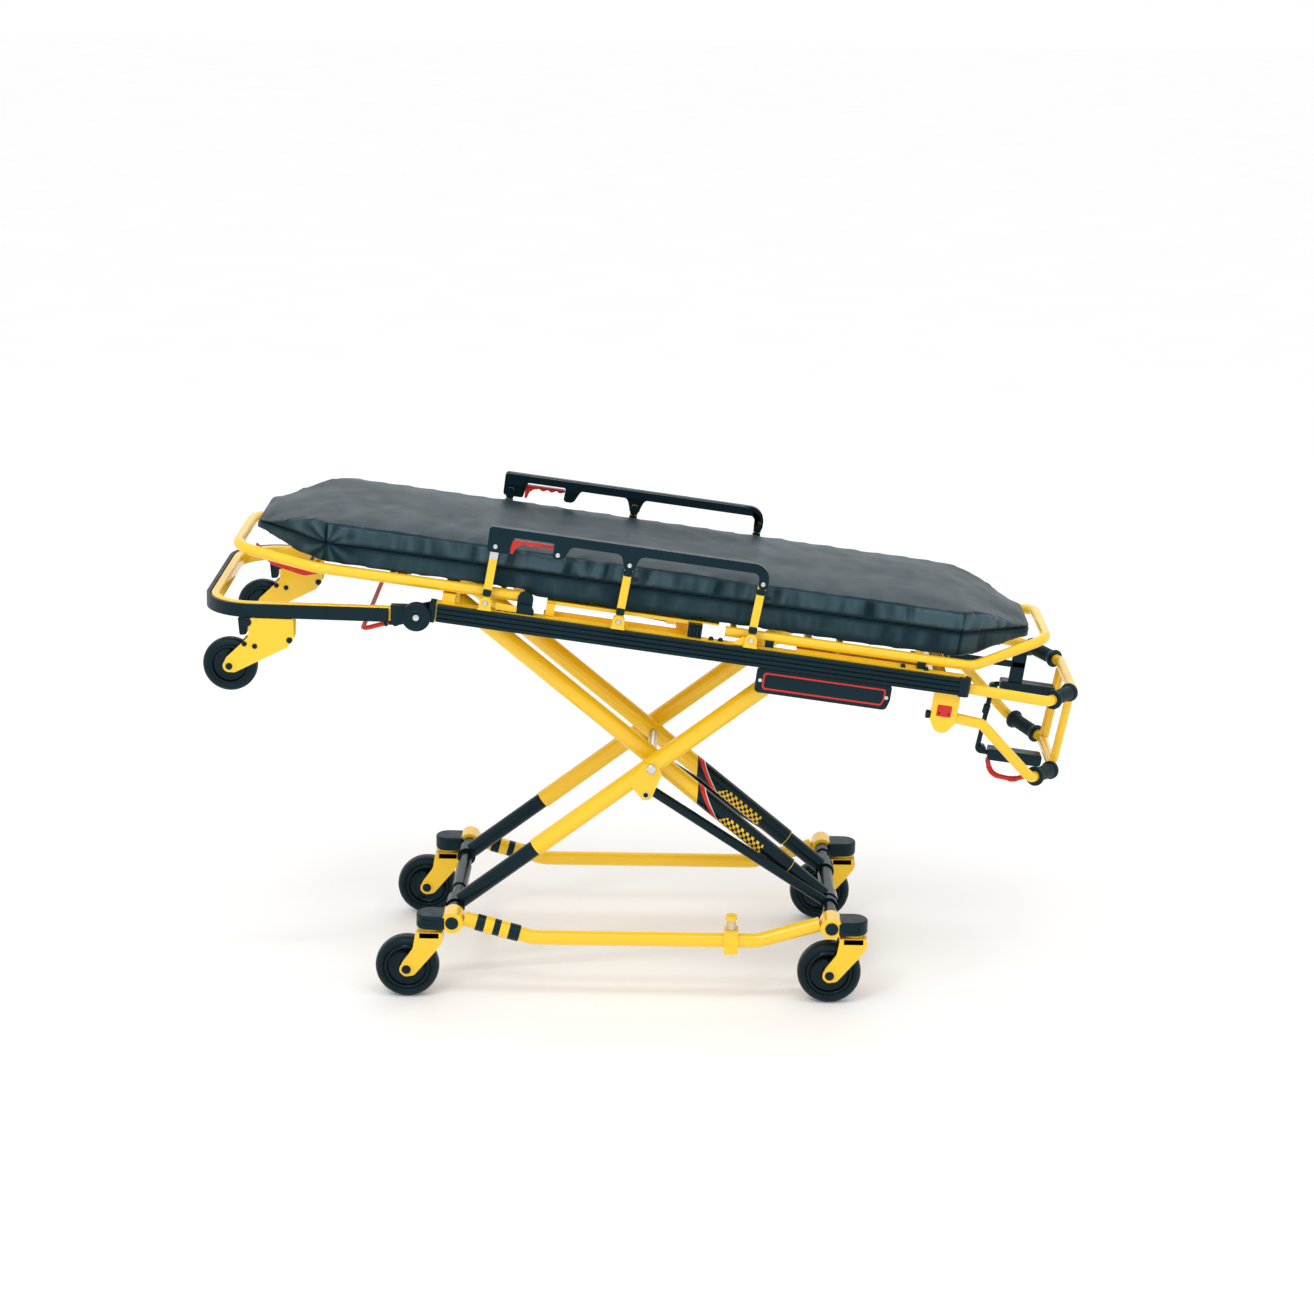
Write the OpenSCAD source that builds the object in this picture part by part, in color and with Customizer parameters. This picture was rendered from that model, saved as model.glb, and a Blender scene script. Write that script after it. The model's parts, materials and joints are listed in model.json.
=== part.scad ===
/* [Litter] */
// Height of the side rails over the middle of the base
litter_height = 885; // [875:1:895]
// Slope of the litter, head end high, in degrees
litter_tilt = 7.5; // [7:0.1:8]
// Half of the distance between the side rails
rail_y = 250; // [250:1:251]
// Height of the side rail tubes
rail_high = 46; // [44:1:46]
// Half width of the mattress
mattress_half = 236; // [225:1:236]
// Thickness of the mattress over its frame
mattress_top = 172; // [150:1:175]

/* [Undercarriage] */
// Distance of each base cross tube from the middle
cross_tube_x = 448.5; // [446:0.5:450]
// Height of the base cross tubes
cross_tube_z = 195; // [194:1:196]
// Diameter of the ground wheels
wheel_d = 152; // [148:1:153]
// Width of the ground wheels
wheel_w = 44; // [36:1:46]
// Distance from the swivel axis to the axle
trail = 55.5; // [50:0.5:56]
// Outer diameter of the leg tubes
leg_d = 44; // [43:0.5:44]

/* [Head section] */
// Length of the folding head section from its pivot
head_length = 478; // [470:1:485]
// Diameter of the load wheels
load_wheel_d = 127; // [120:1:130]

/* [Siderails] */
// Length of a siderail post between its pins
post_length = 138; // [132:1:140]

/* [Hidden] */
$fn = 48;
e = 0.01;
run_gap = 0.05;
yellow = "gold";
black = "#20262b";
steel = "silver";
red = "firebrick";

// litter frame: u runs along the litter to the foot, v stands square to it
function litter_x(u, v) = u * cos(litter_tilt) + v * sin(litter_tilt);
function litter_z(u, v) = litter_height - u * sin(litter_tilt) + v * cos(litter_tilt);

// pivots of the folding undercarriage, as [x, z]
foot_pivot = [cross_tube_x, cross_tube_z];
head_pivot = [-cross_tube_x, cross_tube_z];
long_top_u = -460;
short_top_u = 389;
long_top = [litter_x(long_top_u, 0), litter_z(long_top_u, 0)];
short_top = [litter_x(short_top_u, 0), litter_z(short_top_u, 0)];
long_y = 100;
short_y = 170;
link_y = 135;
long_slope = (long_top[1] - foot_pivot[1]) / (foot_pivot[0] - long_top[0]);
short_slope = (short_top[1] - head_pivot[1]) / (short_top[0] - head_pivot[0]);
cross_x = (long_slope * foot_pivot[0] + short_slope * head_pivot[0]) / (long_slope + short_slope);
cross_z = foot_pivot[1] + long_slope * (foot_pivot[0] - cross_x);
crossing = [cross_x, cross_z];
gusset = [cross_x - 12.7, cross_z - 65.2];
long_total = norm(long_top - foot_pivot);
long_lower = norm(crossing - foot_pivot);
short_total = norm(short_top - head_pivot);
short_lower = norm(crossing - head_pivot);
link_length = norm(gusset - foot_pivot);
leg_bore = leg_d - 5;
inner_d = leg_bore - 2 * run_gap;
sleeve_d = 46;
cross_tube_d = 30;
pivot_bore = cross_tube_d + 2 * run_gap;
shaft_d = 20;
cross_shaft_d = 22;
roller_d = 34;

// castors
castor_x = 502;
castor_y = 265;
crown_z = 168.5;
stem_d = 16;
axle_d = 12;
arm_in = 25;
arm_t = 6;

// litter
rail_w = 24;
rail_head_u = -486;
rail_foot_u = 744;
frame_tube_d = 26;
foot_tube_d = 24;
frame_y = 235;
frame_v = 58;
foot_v = 44;
hinge_u = -285;
notch = 88;
head_pivot_u = -527;
head_pivot_v = -13;
head_tilt = 1.15;
bolt_d = 16;
head_y = 256;
strut_u = 60;
strut_v = -10;
lever_u = -305;
lever_v = 8;

// siderails
post_us = [-375, -67, 240];
lug_v = 41;
post_lean = 7;
post_rise = sqrt(post_length * post_length - post_lean * post_lean);
post_in = 262.5;
post_t = 6;
post_w = 19;
pin_d = 8;
top_v = lug_v + post_rise;

module in_litter() translate([0, 0, litter_height]) rotate([0, litter_tilt, 0]) children();

module in_head_section()
    translate([litter_x(head_pivot_u, head_pivot_v), 0, litter_z(head_pivot_u, head_pivot_v)])
        rotate([0, head_tilt, 0]) children();

module both_sides() {
    children();
    mirror([0, 1, 0]) children();
}

// side -1 is the near side, 1 the far side
module on_side(side) {
    if (side > 0) children();
    else mirror([0, 1, 0]) children();
}

module along(p, q)
    translate([p[0], 0, p[1]]) rotate([0, -atan2(q[1] - p[1], q[0] - p[0]), 0]) children();

// a rod or ring along Y between y0 and y1 at [x, z]
module y_rod(p, y0, y1, d, fn = 48)
    translate([p[0], y1, p[1]]) rotate([90, 0, 0]) cylinder(h = y1 - y0, d = d, $fn = fn);

// a plate outlined in x and z, between y0 and y1
module y_plate(y0, y1) translate([0, y1, 0]) rotate([90, 0, 0]) linear_extrude(y1 - y0) children();

module x_rod(x0, x1, d) translate([x0, 0, 0]) rotate([0, 90, 0]) cylinder(h = x1 - x0, d = d);

module x_tube(x0, x1, d, bore)
    difference() {
        x_rod(x0, x1, d);
        x_rod(x0 - 1, x1 + 1, bore);
    }

function unit(v) = v / norm(v);
function turn(a, b) = acos(max(-1, min(1, a * b)));

function between(p, q, t) = p + (q - p) * t;

// a rod between two points
module rod(a, b, d) {
    w = b - a;
    translate(a) rotate([0, acos(w[2] / norm(w)), atan2(w[1], w[0])]) cylinder(h = norm(w), d = d);
}

// the points of a run whose corners are arcs of the given radius, each with its direction
function bend_steps(p, a, b, bend, steps) =
    let (angle = turn(a, b),
        centre = p + unit(b - a) * bend / cos(angle / 2),
        out = unit(p - a * bend * tan(angle / 2) - centre))
    [for (i = [0 : steps]) let (t = angle * i / steps)
        [centre + bend * (cos(t) * out + sin(t) * a), cos(t) * a - sin(t) * out]];

function run(pts, bend, steps) =
    let (n = len(pts), dirs = [for (i = [0 : n - 2]) unit(pts[i + 1] - pts[i])])
    [[pts[0], dirs[0]],
        each [for (i = [1 : n - 2]) each bend_steps(pts[i], dirs[i - 1], dirs[i], bend, steps)],
        [pts[n - 1], dirs[n - 2]]];

function ring(at, profile, up) =
    let (side = unit(cross(up, at[1])), top = cross(at[1], side))
    [for (q = profile) at[0] + q[0] * side + q[1] * top];

function round_profile(d, sides = 20) =
    [for (i = [0 : sides - 1]) [cos(360 * i / sides), sin(360 * i / sides)] * d / 2];

function bar_profile(w, h, c) =
    [[w / 2, c - h / 2], [w / 2, h / 2 - c], [w / 2 - c, h / 2], [c - w / 2, h / 2],
        [-w / 2, h / 2 - c], [-w / 2, c - h / 2], [c - w / 2, -h / 2], [w / 2 - c, -h / 2]];

// skin between rings of m points each
function skin(rings, m) =
    [for (i = [0 : rings - 2]) for (j = [0 : m - 1])
        let (p = i * m + j, q = i * m + (j + 1) % m)
        each [[p, p + m, q + m], [p, q + m, q]]];

// a solid bar with the given outline, swept along the run
module bent_solid(pts, bend, profile, up = [0, 0, 1], steps = 5) {
    path = run(pts, bend, steps);
    k = len(path);
    m = len(profile);
    polyhedron(points = [for (at = path) each ring(at, profile, up)],
        faces = [each skin(k, m),
            [for (j = [0 : m - 1]) j],
            [for (j = [0 : m - 1]) k * m - 1 - j]]);
}

// ---- base ----

module base_cross_tubes()
    color(black) for (x = [-cross_tube_x, cross_tube_x]) difference() {
        y_rod([x, cross_tube_z], -298, 298, cross_tube_d);
        y_rod([x, cross_tube_z], -292, 292, cross_tube_d - 6);
    }

rail_low_z = 150;
rail_d = 35;
boss_d = 52;
rail_end_x = cross_tube_x - boss_d / 2 - 0.5;
rail_points = [[-rail_end_x, castor_y, cross_tube_z], [-258, castor_y, rail_low_z], [274, castor_y, rail_low_z],
    [rail_end_x, castor_y, cross_tube_z]];
post_x = 212;

module base_side_rails()
    color(yellow) both_sides()
        bent_solid(rail_points, 90, round_profile(rail_d), [0, 1, 0]);

module casting_body() {
    y_rod([cross_tube_x, cross_tube_z], 240, 297, boss_d);
    translate([cross_tube_x, 245, 180]) cube([castor_x - cross_tube_x, 40, 25]);
    translate([castor_x, castor_y, 169]) cylinder(h = 38, d = 46);
}

module casting()
    difference() {
        casting_body();
        y_rod([cross_tube_x, cross_tube_z], 200, 330, cross_tube_d);
        translate([castor_x, castor_y, 160]) cylinder(h = 60, d = stem_d + 2 * run_gap);
    }

module four_corners() {
    both_sides() children();
    mirror([1, 0, 0]) both_sides() children();
}

module corner_castings() color(yellow) four_corners() casting();

bumper_z = 175;
bumper_high = 36;
bumper_w = 66;

// rubber cap over the castor barrel, with a slot along its outer face
module corner_bumpers()
    color(black) four_corners() difference() {
        union() {
            translate([castor_x, castor_y, bumper_z]) cylinder(h = bumper_high, d = bumper_w);
            translate([464, castor_y - bumper_w / 2, bumper_z]) cube([castor_x - 464, bumper_w, bumper_high]);
        }
        casting_body();
        translate([476, castor_y + 30, 188]) cube([60, 10, 9]);
    }

module rail_sleeves()
    color(black) both_sides() difference() {
        rod(between(rail_points[0], rail_points[1], 0.18), between(rail_points[0], rail_points[1], 0.8),
            rail_d + 5);
        rod(rail_points[0], rail_points[1], rail_d);
    }

module fastener_post() {
    color(yellow) difference() {
        translate([post_x - 17, -castor_y - 22, 122]) cube([34, 44, 56]);
        rod([post_x - 40, -castor_y, rail_low_z], [post_x + 40, -castor_y, rail_low_z], rail_d);
    }
    color(steel) translate([post_x, -castor_y, 178]) cylinder(h = 26, d = 22);
    color(yellow) translate([post_x, -castor_y, 204]) cylinder(h = 10, d = 27);
}

// ---- castors ----

module at_castor(end, side) translate([end * castor_x, side * castor_y, 0]) children();

axle = [-trail, wheel_d / 2];
arm_outline = [[-30, crown_z], [30, crown_z], [26, 140], [-46, 62], [-68, 66], [-66, 86]];

module castor_fork(end, side)
    at_castor(end, side) {
        color(yellow) difference() {
            union() {
                translate([-30, -arm_in - arm_t, crown_z - 12]) cube([60, 2 * (arm_in + arm_t), 12]);
                both_sides() {
                    y_plate(arm_in, arm_in + arm_t) polygon(arm_outline);
                    y_rod(axle, arm_in, arm_in + arm_t, 32);
                }
                translate([0, 0, crown_z - 1]) cylinder(h = 37, d = stem_d);
            }
            y_rod(axle, -50, 50, axle_d);
        }
        color(black) both_sides() y_rod(axle, arm_in + arm_t, arm_in + arm_t + 5, 19);
        color(steel) y_rod(axle, -arm_in - arm_t, arm_in + arm_t, axle_d);
    }

tyre_in = wheel_d / 2 - 20;

module ring_section(r0, r1, w, c)
    polygon([[r0, -w / 2], [r1 - c, -w / 2], [r1, -w / 2 + c], [r1, w / 2 - c], [r1 - c, w / 2], [r0, w / 2]]);

module ground_tyre(end, side)
    at_castor(end, side) color(black) translate([axle[0], 0, axle[1]]) rotate([90, 0, 0])
        rotate_extrude($fn = 96) ring_section(tyre_in, wheel_d / 2, wheel_w, 10);

module ground_hub(end, side)
    at_castor(end, side) color("dimgray") translate([axle[0], 0, axle[1]]) rotate([90, 0, 0])
        rotate_extrude($fn = 96) polygon([[axle_d / 2 + run_gap, -24], [18, -24], [22, -8], [46, -8],
            [50, -18], [tyre_in, -18], [tyre_in, 18], [50, 18], [46, 8], [22, 8], [18, 24],
            [axle_d / 2 + run_gap, 24]]);

// ---- legs ----

module leg_sleeve(p, y, w)
    difference() {
        y_rod(p, y - w / 2, y + w / 2, sleeve_d);
        y_rod(p, y - w, y + w, pivot_bore);
    }

module inner_leg(p, top, y, w, reach) {
    leg_sleeve(p, y, w);
    difference() {
        along(p, top) translate([0, y, 0]) x_tube(16, reach, inner_d, inner_d - 6);
        y_rod(p, y - w, y + w, sleeve_d - 2);
    }
}

long_inner_reach = long_lower - 90;
short_inner_reach = short_lower - 194;

module long_leg_inner_tubes()
    color(black) both_sides() inner_leg(foot_pivot, long_top, long_y, 44, long_inner_reach);

module short_leg_inner_tubes()
    color(black) both_sides() inner_leg(head_pivot, short_top, short_y, 50, short_inner_reach);

module outer_leg(p, top, y, from, total, fold) {
    difference() {
        union() {
            along(p, top) translate([0, y, 0]) x_rod(from, total - 8, leg_d);
            y_rod(top, y - leg_d / 2, y + leg_d / 2, 36);
        }
        along(p, top) translate([0, y, 0]) x_rod(from - 1, total - 60, leg_bore);
        y_rod(top, y - 60, y + 60, shaft_d);
        y_rod(crossing, y - 60, y + 60, fold);
    }
}

module long_leg_outer_tubes()
    color(yellow) both_sides() outer_leg(foot_pivot, long_top, long_y, 126.6, long_total, cross_shaft_d);

module long_leg_shafts()
    color(steel) {
        y_rod(crossing, -147, 147, cross_shaft_d);
        y_rod(long_top, -134, 134, shaft_d);
    }

gusset_t = 5;
gusset_in = short_y + leg_d / 2 - gusset_t;
gusset_outline = [[-58, -32], [-30, -68], [-20, -79], [-5, -79], [2, -72], [25, -14], [12, 16], [-18, 10]];
crossing_bolt_d = 12;
gusset_bolt_d = 10;

// each short leg carries a gusset plate whose lower bolt holds the link
module short_leg_outer_tubes()
    color(yellow) both_sides() difference() {
        union() {
            outer_leg(head_pivot, short_top, short_y, 242, short_total, crossing_bolt_d);
            difference() {
                y_plate(gusset_in, gusset_in + gusset_t) translate(crossing) polygon(gusset_outline);
                along(head_pivot, short_top) translate([0, short_y, 0]) x_rod(0, short_total, leg_d - 2);
            }
        }
        y_rod(crossing, 100, 230, crossing_bolt_d);
        y_rod(gusset, 100, 230, gusset_bolt_d);
    }

module short_leg_shaft() {
    color(steel) {
        y_rod(short_top, -231, 231, shaft_d);
        both_sides() {
            y_rod(crossing, 148.5, 192, crossing_bolt_d);
            y_rod(crossing, 192, 199, 22);
        }
    }
    color(black) both_sides() {
        difference() {
            y_rod(short_top, 214, 231, roller_d);
            y_rod(short_top, 200, 240, shaft_d);
        }
        y_rod(gusset, 149, 192, gusset_bolt_d);
        y_rod(gusset, 192, 196, 14);
    }
}

link_d = 24;

module link_bars()
    color(black) both_sides() {
        difference() {
            union() {
                y_rod(foot_pivot, link_y - 12, link_y + 12, 40);
                along(foot_pivot, gusset) translate([0, link_y, 0]) x_rod(0, link_length - 6, link_d);
                y_rod(gusset, link_y - 12, link_y + 12, 28);
            }
            y_rod(foot_pivot, 0, 200, pivot_bore);
        }
    }

// ---- litter ----

module litter_rails()
    color(yellow) in_litter() both_sides() {
        translate([rail_head_u, rail_y - rail_w / 2, -rail_high / 2])
            cube([rail_foot_u - rail_head_u, rail_w, rail_high]);
        for (u = post_us) siderail_lug(u);
    }

// clevis that a siderail post turns in, with its bolt
module siderail_lug(u) {
    difference() {
        union() {
            translate([u - 16, 246, rail_high / 2]) cube([32, 29, 4]);
            for (y = [256, 271]) {
                y_plate(y, y + 4) {
                    translate([u - 14, rail_high / 2 + 2]) square([28, lug_v - rail_high / 2 - 2]);
                    translate([u, lug_v]) circle(r = 14);
                }
            }
        }
        y_rod([u, lug_v], 240, 290, pin_d);
    }
    color(steel) y_rod([u, lug_v], 256, 275, pin_d);
    color(steel) y_rod([u, lug_v], 275, 278, 13);
}

flute = [[262, -20.5], [272, -20.5], [274, -18], [274, -13], [271.5, -11], [274, -9], [274, -2],
    [271.5, 0], [274, 2], [274, 9], [271.5, 11], [274, 13], [274, 18], [272, 20.5], [262, 20.5]];

module rail_bumpers()
    color(black) in_litter() both_sides() {
        translate([rail_head_u + 4, 0, 0]) rotate([90, 0, 90])
            linear_extrude(rail_foot_u - rail_head_u - 16) polygon(flute);
        difference() {
            union() {
                translate([rail_foot_u, 262, -22]) cylinder(h = 44, r = 14);
                translate([rail_foot_u - 12, 262, -22]) cube([12, 14, 44]);
                translate([rail_foot_u, 248, -22]) cube([8, 14, 44]);
            }
            rod(upper_lift_points[5] - [20, 0, 0], upper_lift_points[4], lift_d + 0.2);
            translate([rail_foot_u - 30, 220, -30]) cube([30, rail_y + rail_w / 2 - 220, 60]);
        }
    }

module litter_cross_members() {
    hanger_v = rail_high / 2;
    color(yellow) in_litter() {
        translate([long_top_u - 15, -rail_y, hanger_v]) cube([30, 2 * rail_y, 20]);
        for (u = [85, 690])
            translate([u - 15, -rail_y + rail_w / 2, -12]) cube([30, 2 * rail_y - rail_w, 24]);
        both_sides() {
            difference() {
                y_plate(124, 132) {
                    translate([long_top_u - 20, 0]) square([40, hanger_v]);
                    translate([long_top_u, 0]) circle(r = 20);
                }
                y_rod([long_top_u, 0], 100, 150, shaft_d + 2 * run_gap);
            }
            // channel that the short legs' rollers run in
            translate([350, rail_y - rail_w / 2 - 3, -27]) cube([290, 3, 54]);
            for (v = [-27, 24.5]) translate([350, 212, v]) cube([290, rail_y - rail_w / 2 - 214.9, 2.5]);
            translate([-240, 199, 12]) cube([330, 12, 12]);
            translate([-240, 211, 12]) cube([20, rail_y - rail_w / 2 - 211, 12]);
            difference() {
                y_plate(13, 17) {
                    translate([strut_u - 10, strut_v - 10]) square([20, 20]);
                    translate([strut_u, strut_v - 10]) square([70 - strut_u, 20]);
                }
                y_rod([strut_u, strut_v], 0, 30, 10);
            }
        }
    }
    color(steel) in_litter() y_rod([strut_u, strut_v], -18, 18, 10);
}

pivot_plate_y = 234;
pivot_plate_t = 10;
knuckle_y = pivot_plate_y + pivot_plate_t + 0.5;

module head_pivot_brackets()
    color(black) in_litter() both_sides() {
        difference() {
            union() {
                y_plate(pivot_plate_y, pivot_plate_y + pivot_plate_t) {
                    translate([head_pivot_u, head_pivot_v]) circle(r = 23);
                    translate([bail_u, bail_v]) circle(r = 9);
                    polygon([[head_pivot_u, head_pivot_v - 20], [-480, -23], [-480, 23],
                        [head_pivot_u, head_pivot_v + 20], [bail_u - 3, bail_v + 7], [bail_u + 4, bail_v - 7]]);
                }
                translate([-500, pivot_plate_y, -23]) cube([14, 40, 46]);
            }
            translate([rail_head_u, 220, -30]) cube([60, 60, 60]);
        }
        y_rod([head_pivot_u, head_pivot_v], pivot_plate_y + pivot_plate_t, 268, bolt_d);
        y_rod([head_pivot_u, head_pivot_v], 268, 286, 66);
        y_rod([bail_u, bail_v], bail_eye_y, pivot_plate_y, bail_pin_d);
        color(steel) y_rod([head_pivot_u, head_pivot_v], 286, 289, 20);
    }

eye_pin_d = 12;

module support_brackets()
    color(black) in_litter() both_sides() {
        y_plate(249.5, 256) {
            translate([hinge_u - 18, rail_high / 2]) square([36, frame_v - rail_high / 2]);
            translate([hinge_u, frame_v]) circle(r = 18);
        }
        y_rod([hinge_u, frame_v], 224, 249.5, eye_pin_d);
        difference() {
            translate([95, 205, 23]) cube([32, 44, 29]);
            translate([90, 200, 23 - e]) cube([60, 20, 8]);
        }
        for (u = [285, 640]) difference() {
            translate([u - 10, 229, 23]) cube([20, 19, 16]);
            rod([180, frame_y, foot_v], [760, frame_y, foot_v], foot_tube_d);
            translate([u - 20, 220, 20]) cube([40, 20, 8]);
        }
    }

module seat_panel()
    color(yellow) in_litter() {
        translate([-236, -228, 52]) cube([401, 456, 4]);
        both_sides() {
            translate([-236, 228, 48]) cube([329, 4, 8]);
            translate([-236, 224, 24]) cube([20, 20, 28]);
        }
    }

foot_points = [[180, -frame_y, foot_v], [760, -frame_y, foot_v], [935, -130, 106], [935, 130, 106],
    [760, frame_y, foot_v], [180, frame_y, foot_v]];

module foot_frame()
    color(yellow) in_litter() {
        bent_solid(foot_points, 60, round_profile(foot_tube_d));
        bar_end = frame_y - foot_tube_d / 2 - 0.1;
        for (u = [200, 450, 700]) rod([u, -bar_end, foot_v], [u, bar_end, foot_v], 16);
    }

// ---- soft parts ----

module mattress_seat_foot()
    color(black) in_litter() difference() {
        intersection() {
            translate([0, 0, 58]) linear_extrude(mattress_top - 58)
                polygon([[hinge_u, -mattress_half], [703, -mattress_half], [895, -95], [895, 95],
                    [703, mattress_half], [hinge_u, mattress_half]]);
            y_plate(-300, 300) polygon([[hinge_u + 4, frame_v], [900, frame_v], [900, mattress_top],
                [hinge_u + 4 + notch, mattress_top]]);
        }
        both_sides() y_rod([hinge_u, frame_v], 215, 260, 32);
    }

module mattress_backrest()
    color(black) in_litter() intersection() {
        union() {
            translate([0, 0, 72]) linear_extrude(mattress_top - 72)
                polygon([[hinge_u, -mattress_half], [-757, -mattress_half], [-922, -112], [-922, 112],
                    [-757, mattress_half], [hinge_u, mattress_half]]);
            translate([-880, -112, 60]) cube([580, 224, 12]);
        }
        y_plate(-300, 300) polygon([[hinge_u - 4, frame_v], [-930, frame_v], [-930, mattress_top],
            [hinge_u - 4 - notch, mattress_top]]);
    }

// ---- foot end handles ----

lift_d = 25;
lift_bend = 26;
upper_lift_points = [[rail_foot_u + 0.6, -245, -8], [946, -240, -14], [1020, -120, -14], [1020, 120, -14],
    [946, 240, -14], [rail_foot_u + 0.6, 245, -8]];
lower_lift_points = [[742, -240, -85], [804, -240, -90], [939, -240, -204], [1010, -120, -212],
    [1010, 120, -212], [939, 240, -204], [804, 240, -90], [742, 240, -85]];

module foot_lift_bars()
    color(yellow) in_litter() {
        for (points = [upper_lift_points, lower_lift_points])
            bent_solid(points, lift_bend, round_profile(lift_d));
        top = upper_lift_points[2];
        low = lower_lift_points[3];
        both_sides() {
            rod(between([top[0], 98, top[2]], [low[0], 98, low[2]], 0.066),
                between([top[0], 98, top[2]], [low[0], 98, low[2]], 0.934), 20);
            translate([1008, 58, -198]) rotate([0, 2.9, 0]) cube([16, 4, 170]);
            difference() {
                y_plate(227, 253) {
                    translate([681, -92]) square([61, 92 - rail_high / 2]);
                    translate([711.5, -88]) circle(r = 30.5);
                }
                y_plate(220, 260) translate([670, -140]) square([90, 30]);
                y_plate(231, 249) translate([686, -87]) square([51, 87 - rail_high / 2 - 4]);
            }
        }
    }

module grip(a, b) {
    difference() {
        union() {
            rod(between(a, b, 0.16), between(a, b, 0.88), 34);
            rod(between(a, b, 0.16), between(a, b, 0.24), 46);
            rod(between(a, b, 0.8), between(a, b, 0.88), 44);
        }
        rod(a, b, lift_d);
    }
}

module lift_bar_grips()
    color(black) in_litter() {
        grip(upper_lift_points[1], upper_lift_points[2]);
        grip(upper_lift_points[4], upper_lift_points[3]);
        grip(lower_lift_points[2], lower_lift_points[3]);
        grip(lower_lift_points[5], lower_lift_points[4]);
    }

module name_plate() color(black) in_litter() translate([266, -262, -84]) cube([315, 14, 61]);

module release_housings()
    color(black) in_litter() {
        translate([862, -19, -72]) cube([136, 38, 28]);
        translate([882, -16, -44]) cube([34, 6, 86]);
        translate([705, -16, -8]) cube([211, 6, 16]);
        translate([866, -19, -246]) cube([131, 38, 28]);
        bent_solid([[861.9, 0, -58], [850, 0, -58], [840, 0, -232], [865.9, 0, -232]], 9,
            round_profile(12), [0, 1, 0]);
    }

module upper_release_lever()
    color(red) in_litter() {
        translate([874, -12, -92]) cube([112, 24, 8]);
        translate([870, -12, -92]) cube([8, 24, 18]);
        y_rod([874, -82], -15, 15, 6);
    }

module lower_release_lever()
    color(red) in_litter() {
        bent_solid([[870, 0, -250], [884, 0, -287], [940, 0, -292], [975, 0, -277]], 26, round_profile(11), [0, 1, 0]);
        y_rod([870, -250], -9, 9, 7);
    }

// ---- head section ----

head_rail_points = [[-22, -head_y, 0], [-head_length, -head_y, 0], [-head_length, head_y, 0], [-22, head_y, 0]];
head_bend = 95;
rubber_out = 16;
rubber_y = head_y + rubber_out;

module head_section_frame()
    color(yellow) in_head_section()
        bent_solid(head_rail_points, head_bend, bar_profile(20, 34, 5), steps = 8);

module head_section_rubber()
    color(black) in_head_section()
        bent_solid([[-64, -rubber_y, 0], [-head_length - rubber_out, -rubber_y, 0],
            [-head_length - rubber_out, rubber_y, 0], [-64, rubber_y, 0]], head_bend + rubber_out,
            bar_profile(9, 32, 2.5), steps = 8);

knuckle_w = 23;

module head_section_knuckles()
    color(black) in_head_section() both_sides() difference() {
        union() {
            y_rod([0, 0], knuckle_y, knuckle_y + knuckle_w, 46);
            translate([-60, knuckle_y, -21]) cube([40, knuckle_w, 42]);
            translate([-22, knuckle_y, -17]) cube([22, knuckle_w, 34]);
        }
        translate([-70, head_y - 10, -17]) cube([48, 20, 34]);
        y_rod([0, 0], 200, 300, bolt_d + 2 * run_gap);
    }

load_axle = [-430.5, -132.7];
load_half = 20;
load_plate = [[-381, -17], [-282, -17], [-282, -66], [-296, -84], [-421, -149], [-444, -139], [-437, -116],
    [-390, -66]];

module load_wheel_brackets()
    in_head_section() both_sides() {
        color(yellow) difference() {
            union() {
                for (y = [head_y - load_half - 4, head_y + load_half])
                    y_plate(y, y + 4) {
                        polygon(load_plate);
                        translate(load_axle) circle(r = 17);
                    }
                translate([-372, head_y - load_half, -21]) cube([90, 2 * load_half, 4]);
            }
            y_rod(load_axle, 200, 300, 10);
        }
        color(black) {
            y_rod(load_axle, head_y - load_half - 4, head_y + load_half + 4, 10);
            y_rod(load_axle, head_y + load_half + 4, head_y + load_half + 8, 16);
        }
    }

module load_wheel(side)
    in_head_section() on_side(side) translate([load_axle[0], head_y, load_axle[1]]) rotate([90, 0, 0]) {
        color(black) rotate_extrude($fn = 96) ring_section(46, load_wheel_d / 2, 32, 8);
        color("dimgray") rotate_extrude($fn = 96)
            polygon([[5 + run_gap, -19], [16, -19], [20, -7], [38, -7], [41, -14], [46, -14], [46, 14], [41, 14],
                [38, 7], [20, 7], [16, 19], [5 + run_gap, 19]]);
    }

bail_u = -575;
bail_v = -44;
bail_y = 226;
bail_eye_y = 221;
bail_pin_d = 8;

// bail that frees the head section, turning on pins in the head pivot brackets
module head_release_bail()
    color(red) in_litter() {
        bent_solid([[bail_u - 9, -bail_y, bail_v - 3.8], [-650, -bail_y, -76], [-650, bail_y, -76],
            [bail_u - 9, bail_y, bail_v - 3.8]], 20, round_profile(10, 12));
        both_sides() difference() {
            y_rod([bail_u, bail_v], bail_eye_y, bail_eye_y + 11, 18);
            y_rod([bail_u, bail_v], 200, 240, bail_pin_d + 2 * run_gap);
        }
    }

// ---- backrest ----

backrest_points = [[-300, -frame_y, frame_v], [-775, -frame_y, frame_v], [-970, -150, frame_v],
    [-970, 150, frame_v], [-775, frame_y, frame_v], [-300, frame_y, frame_v]];

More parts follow.
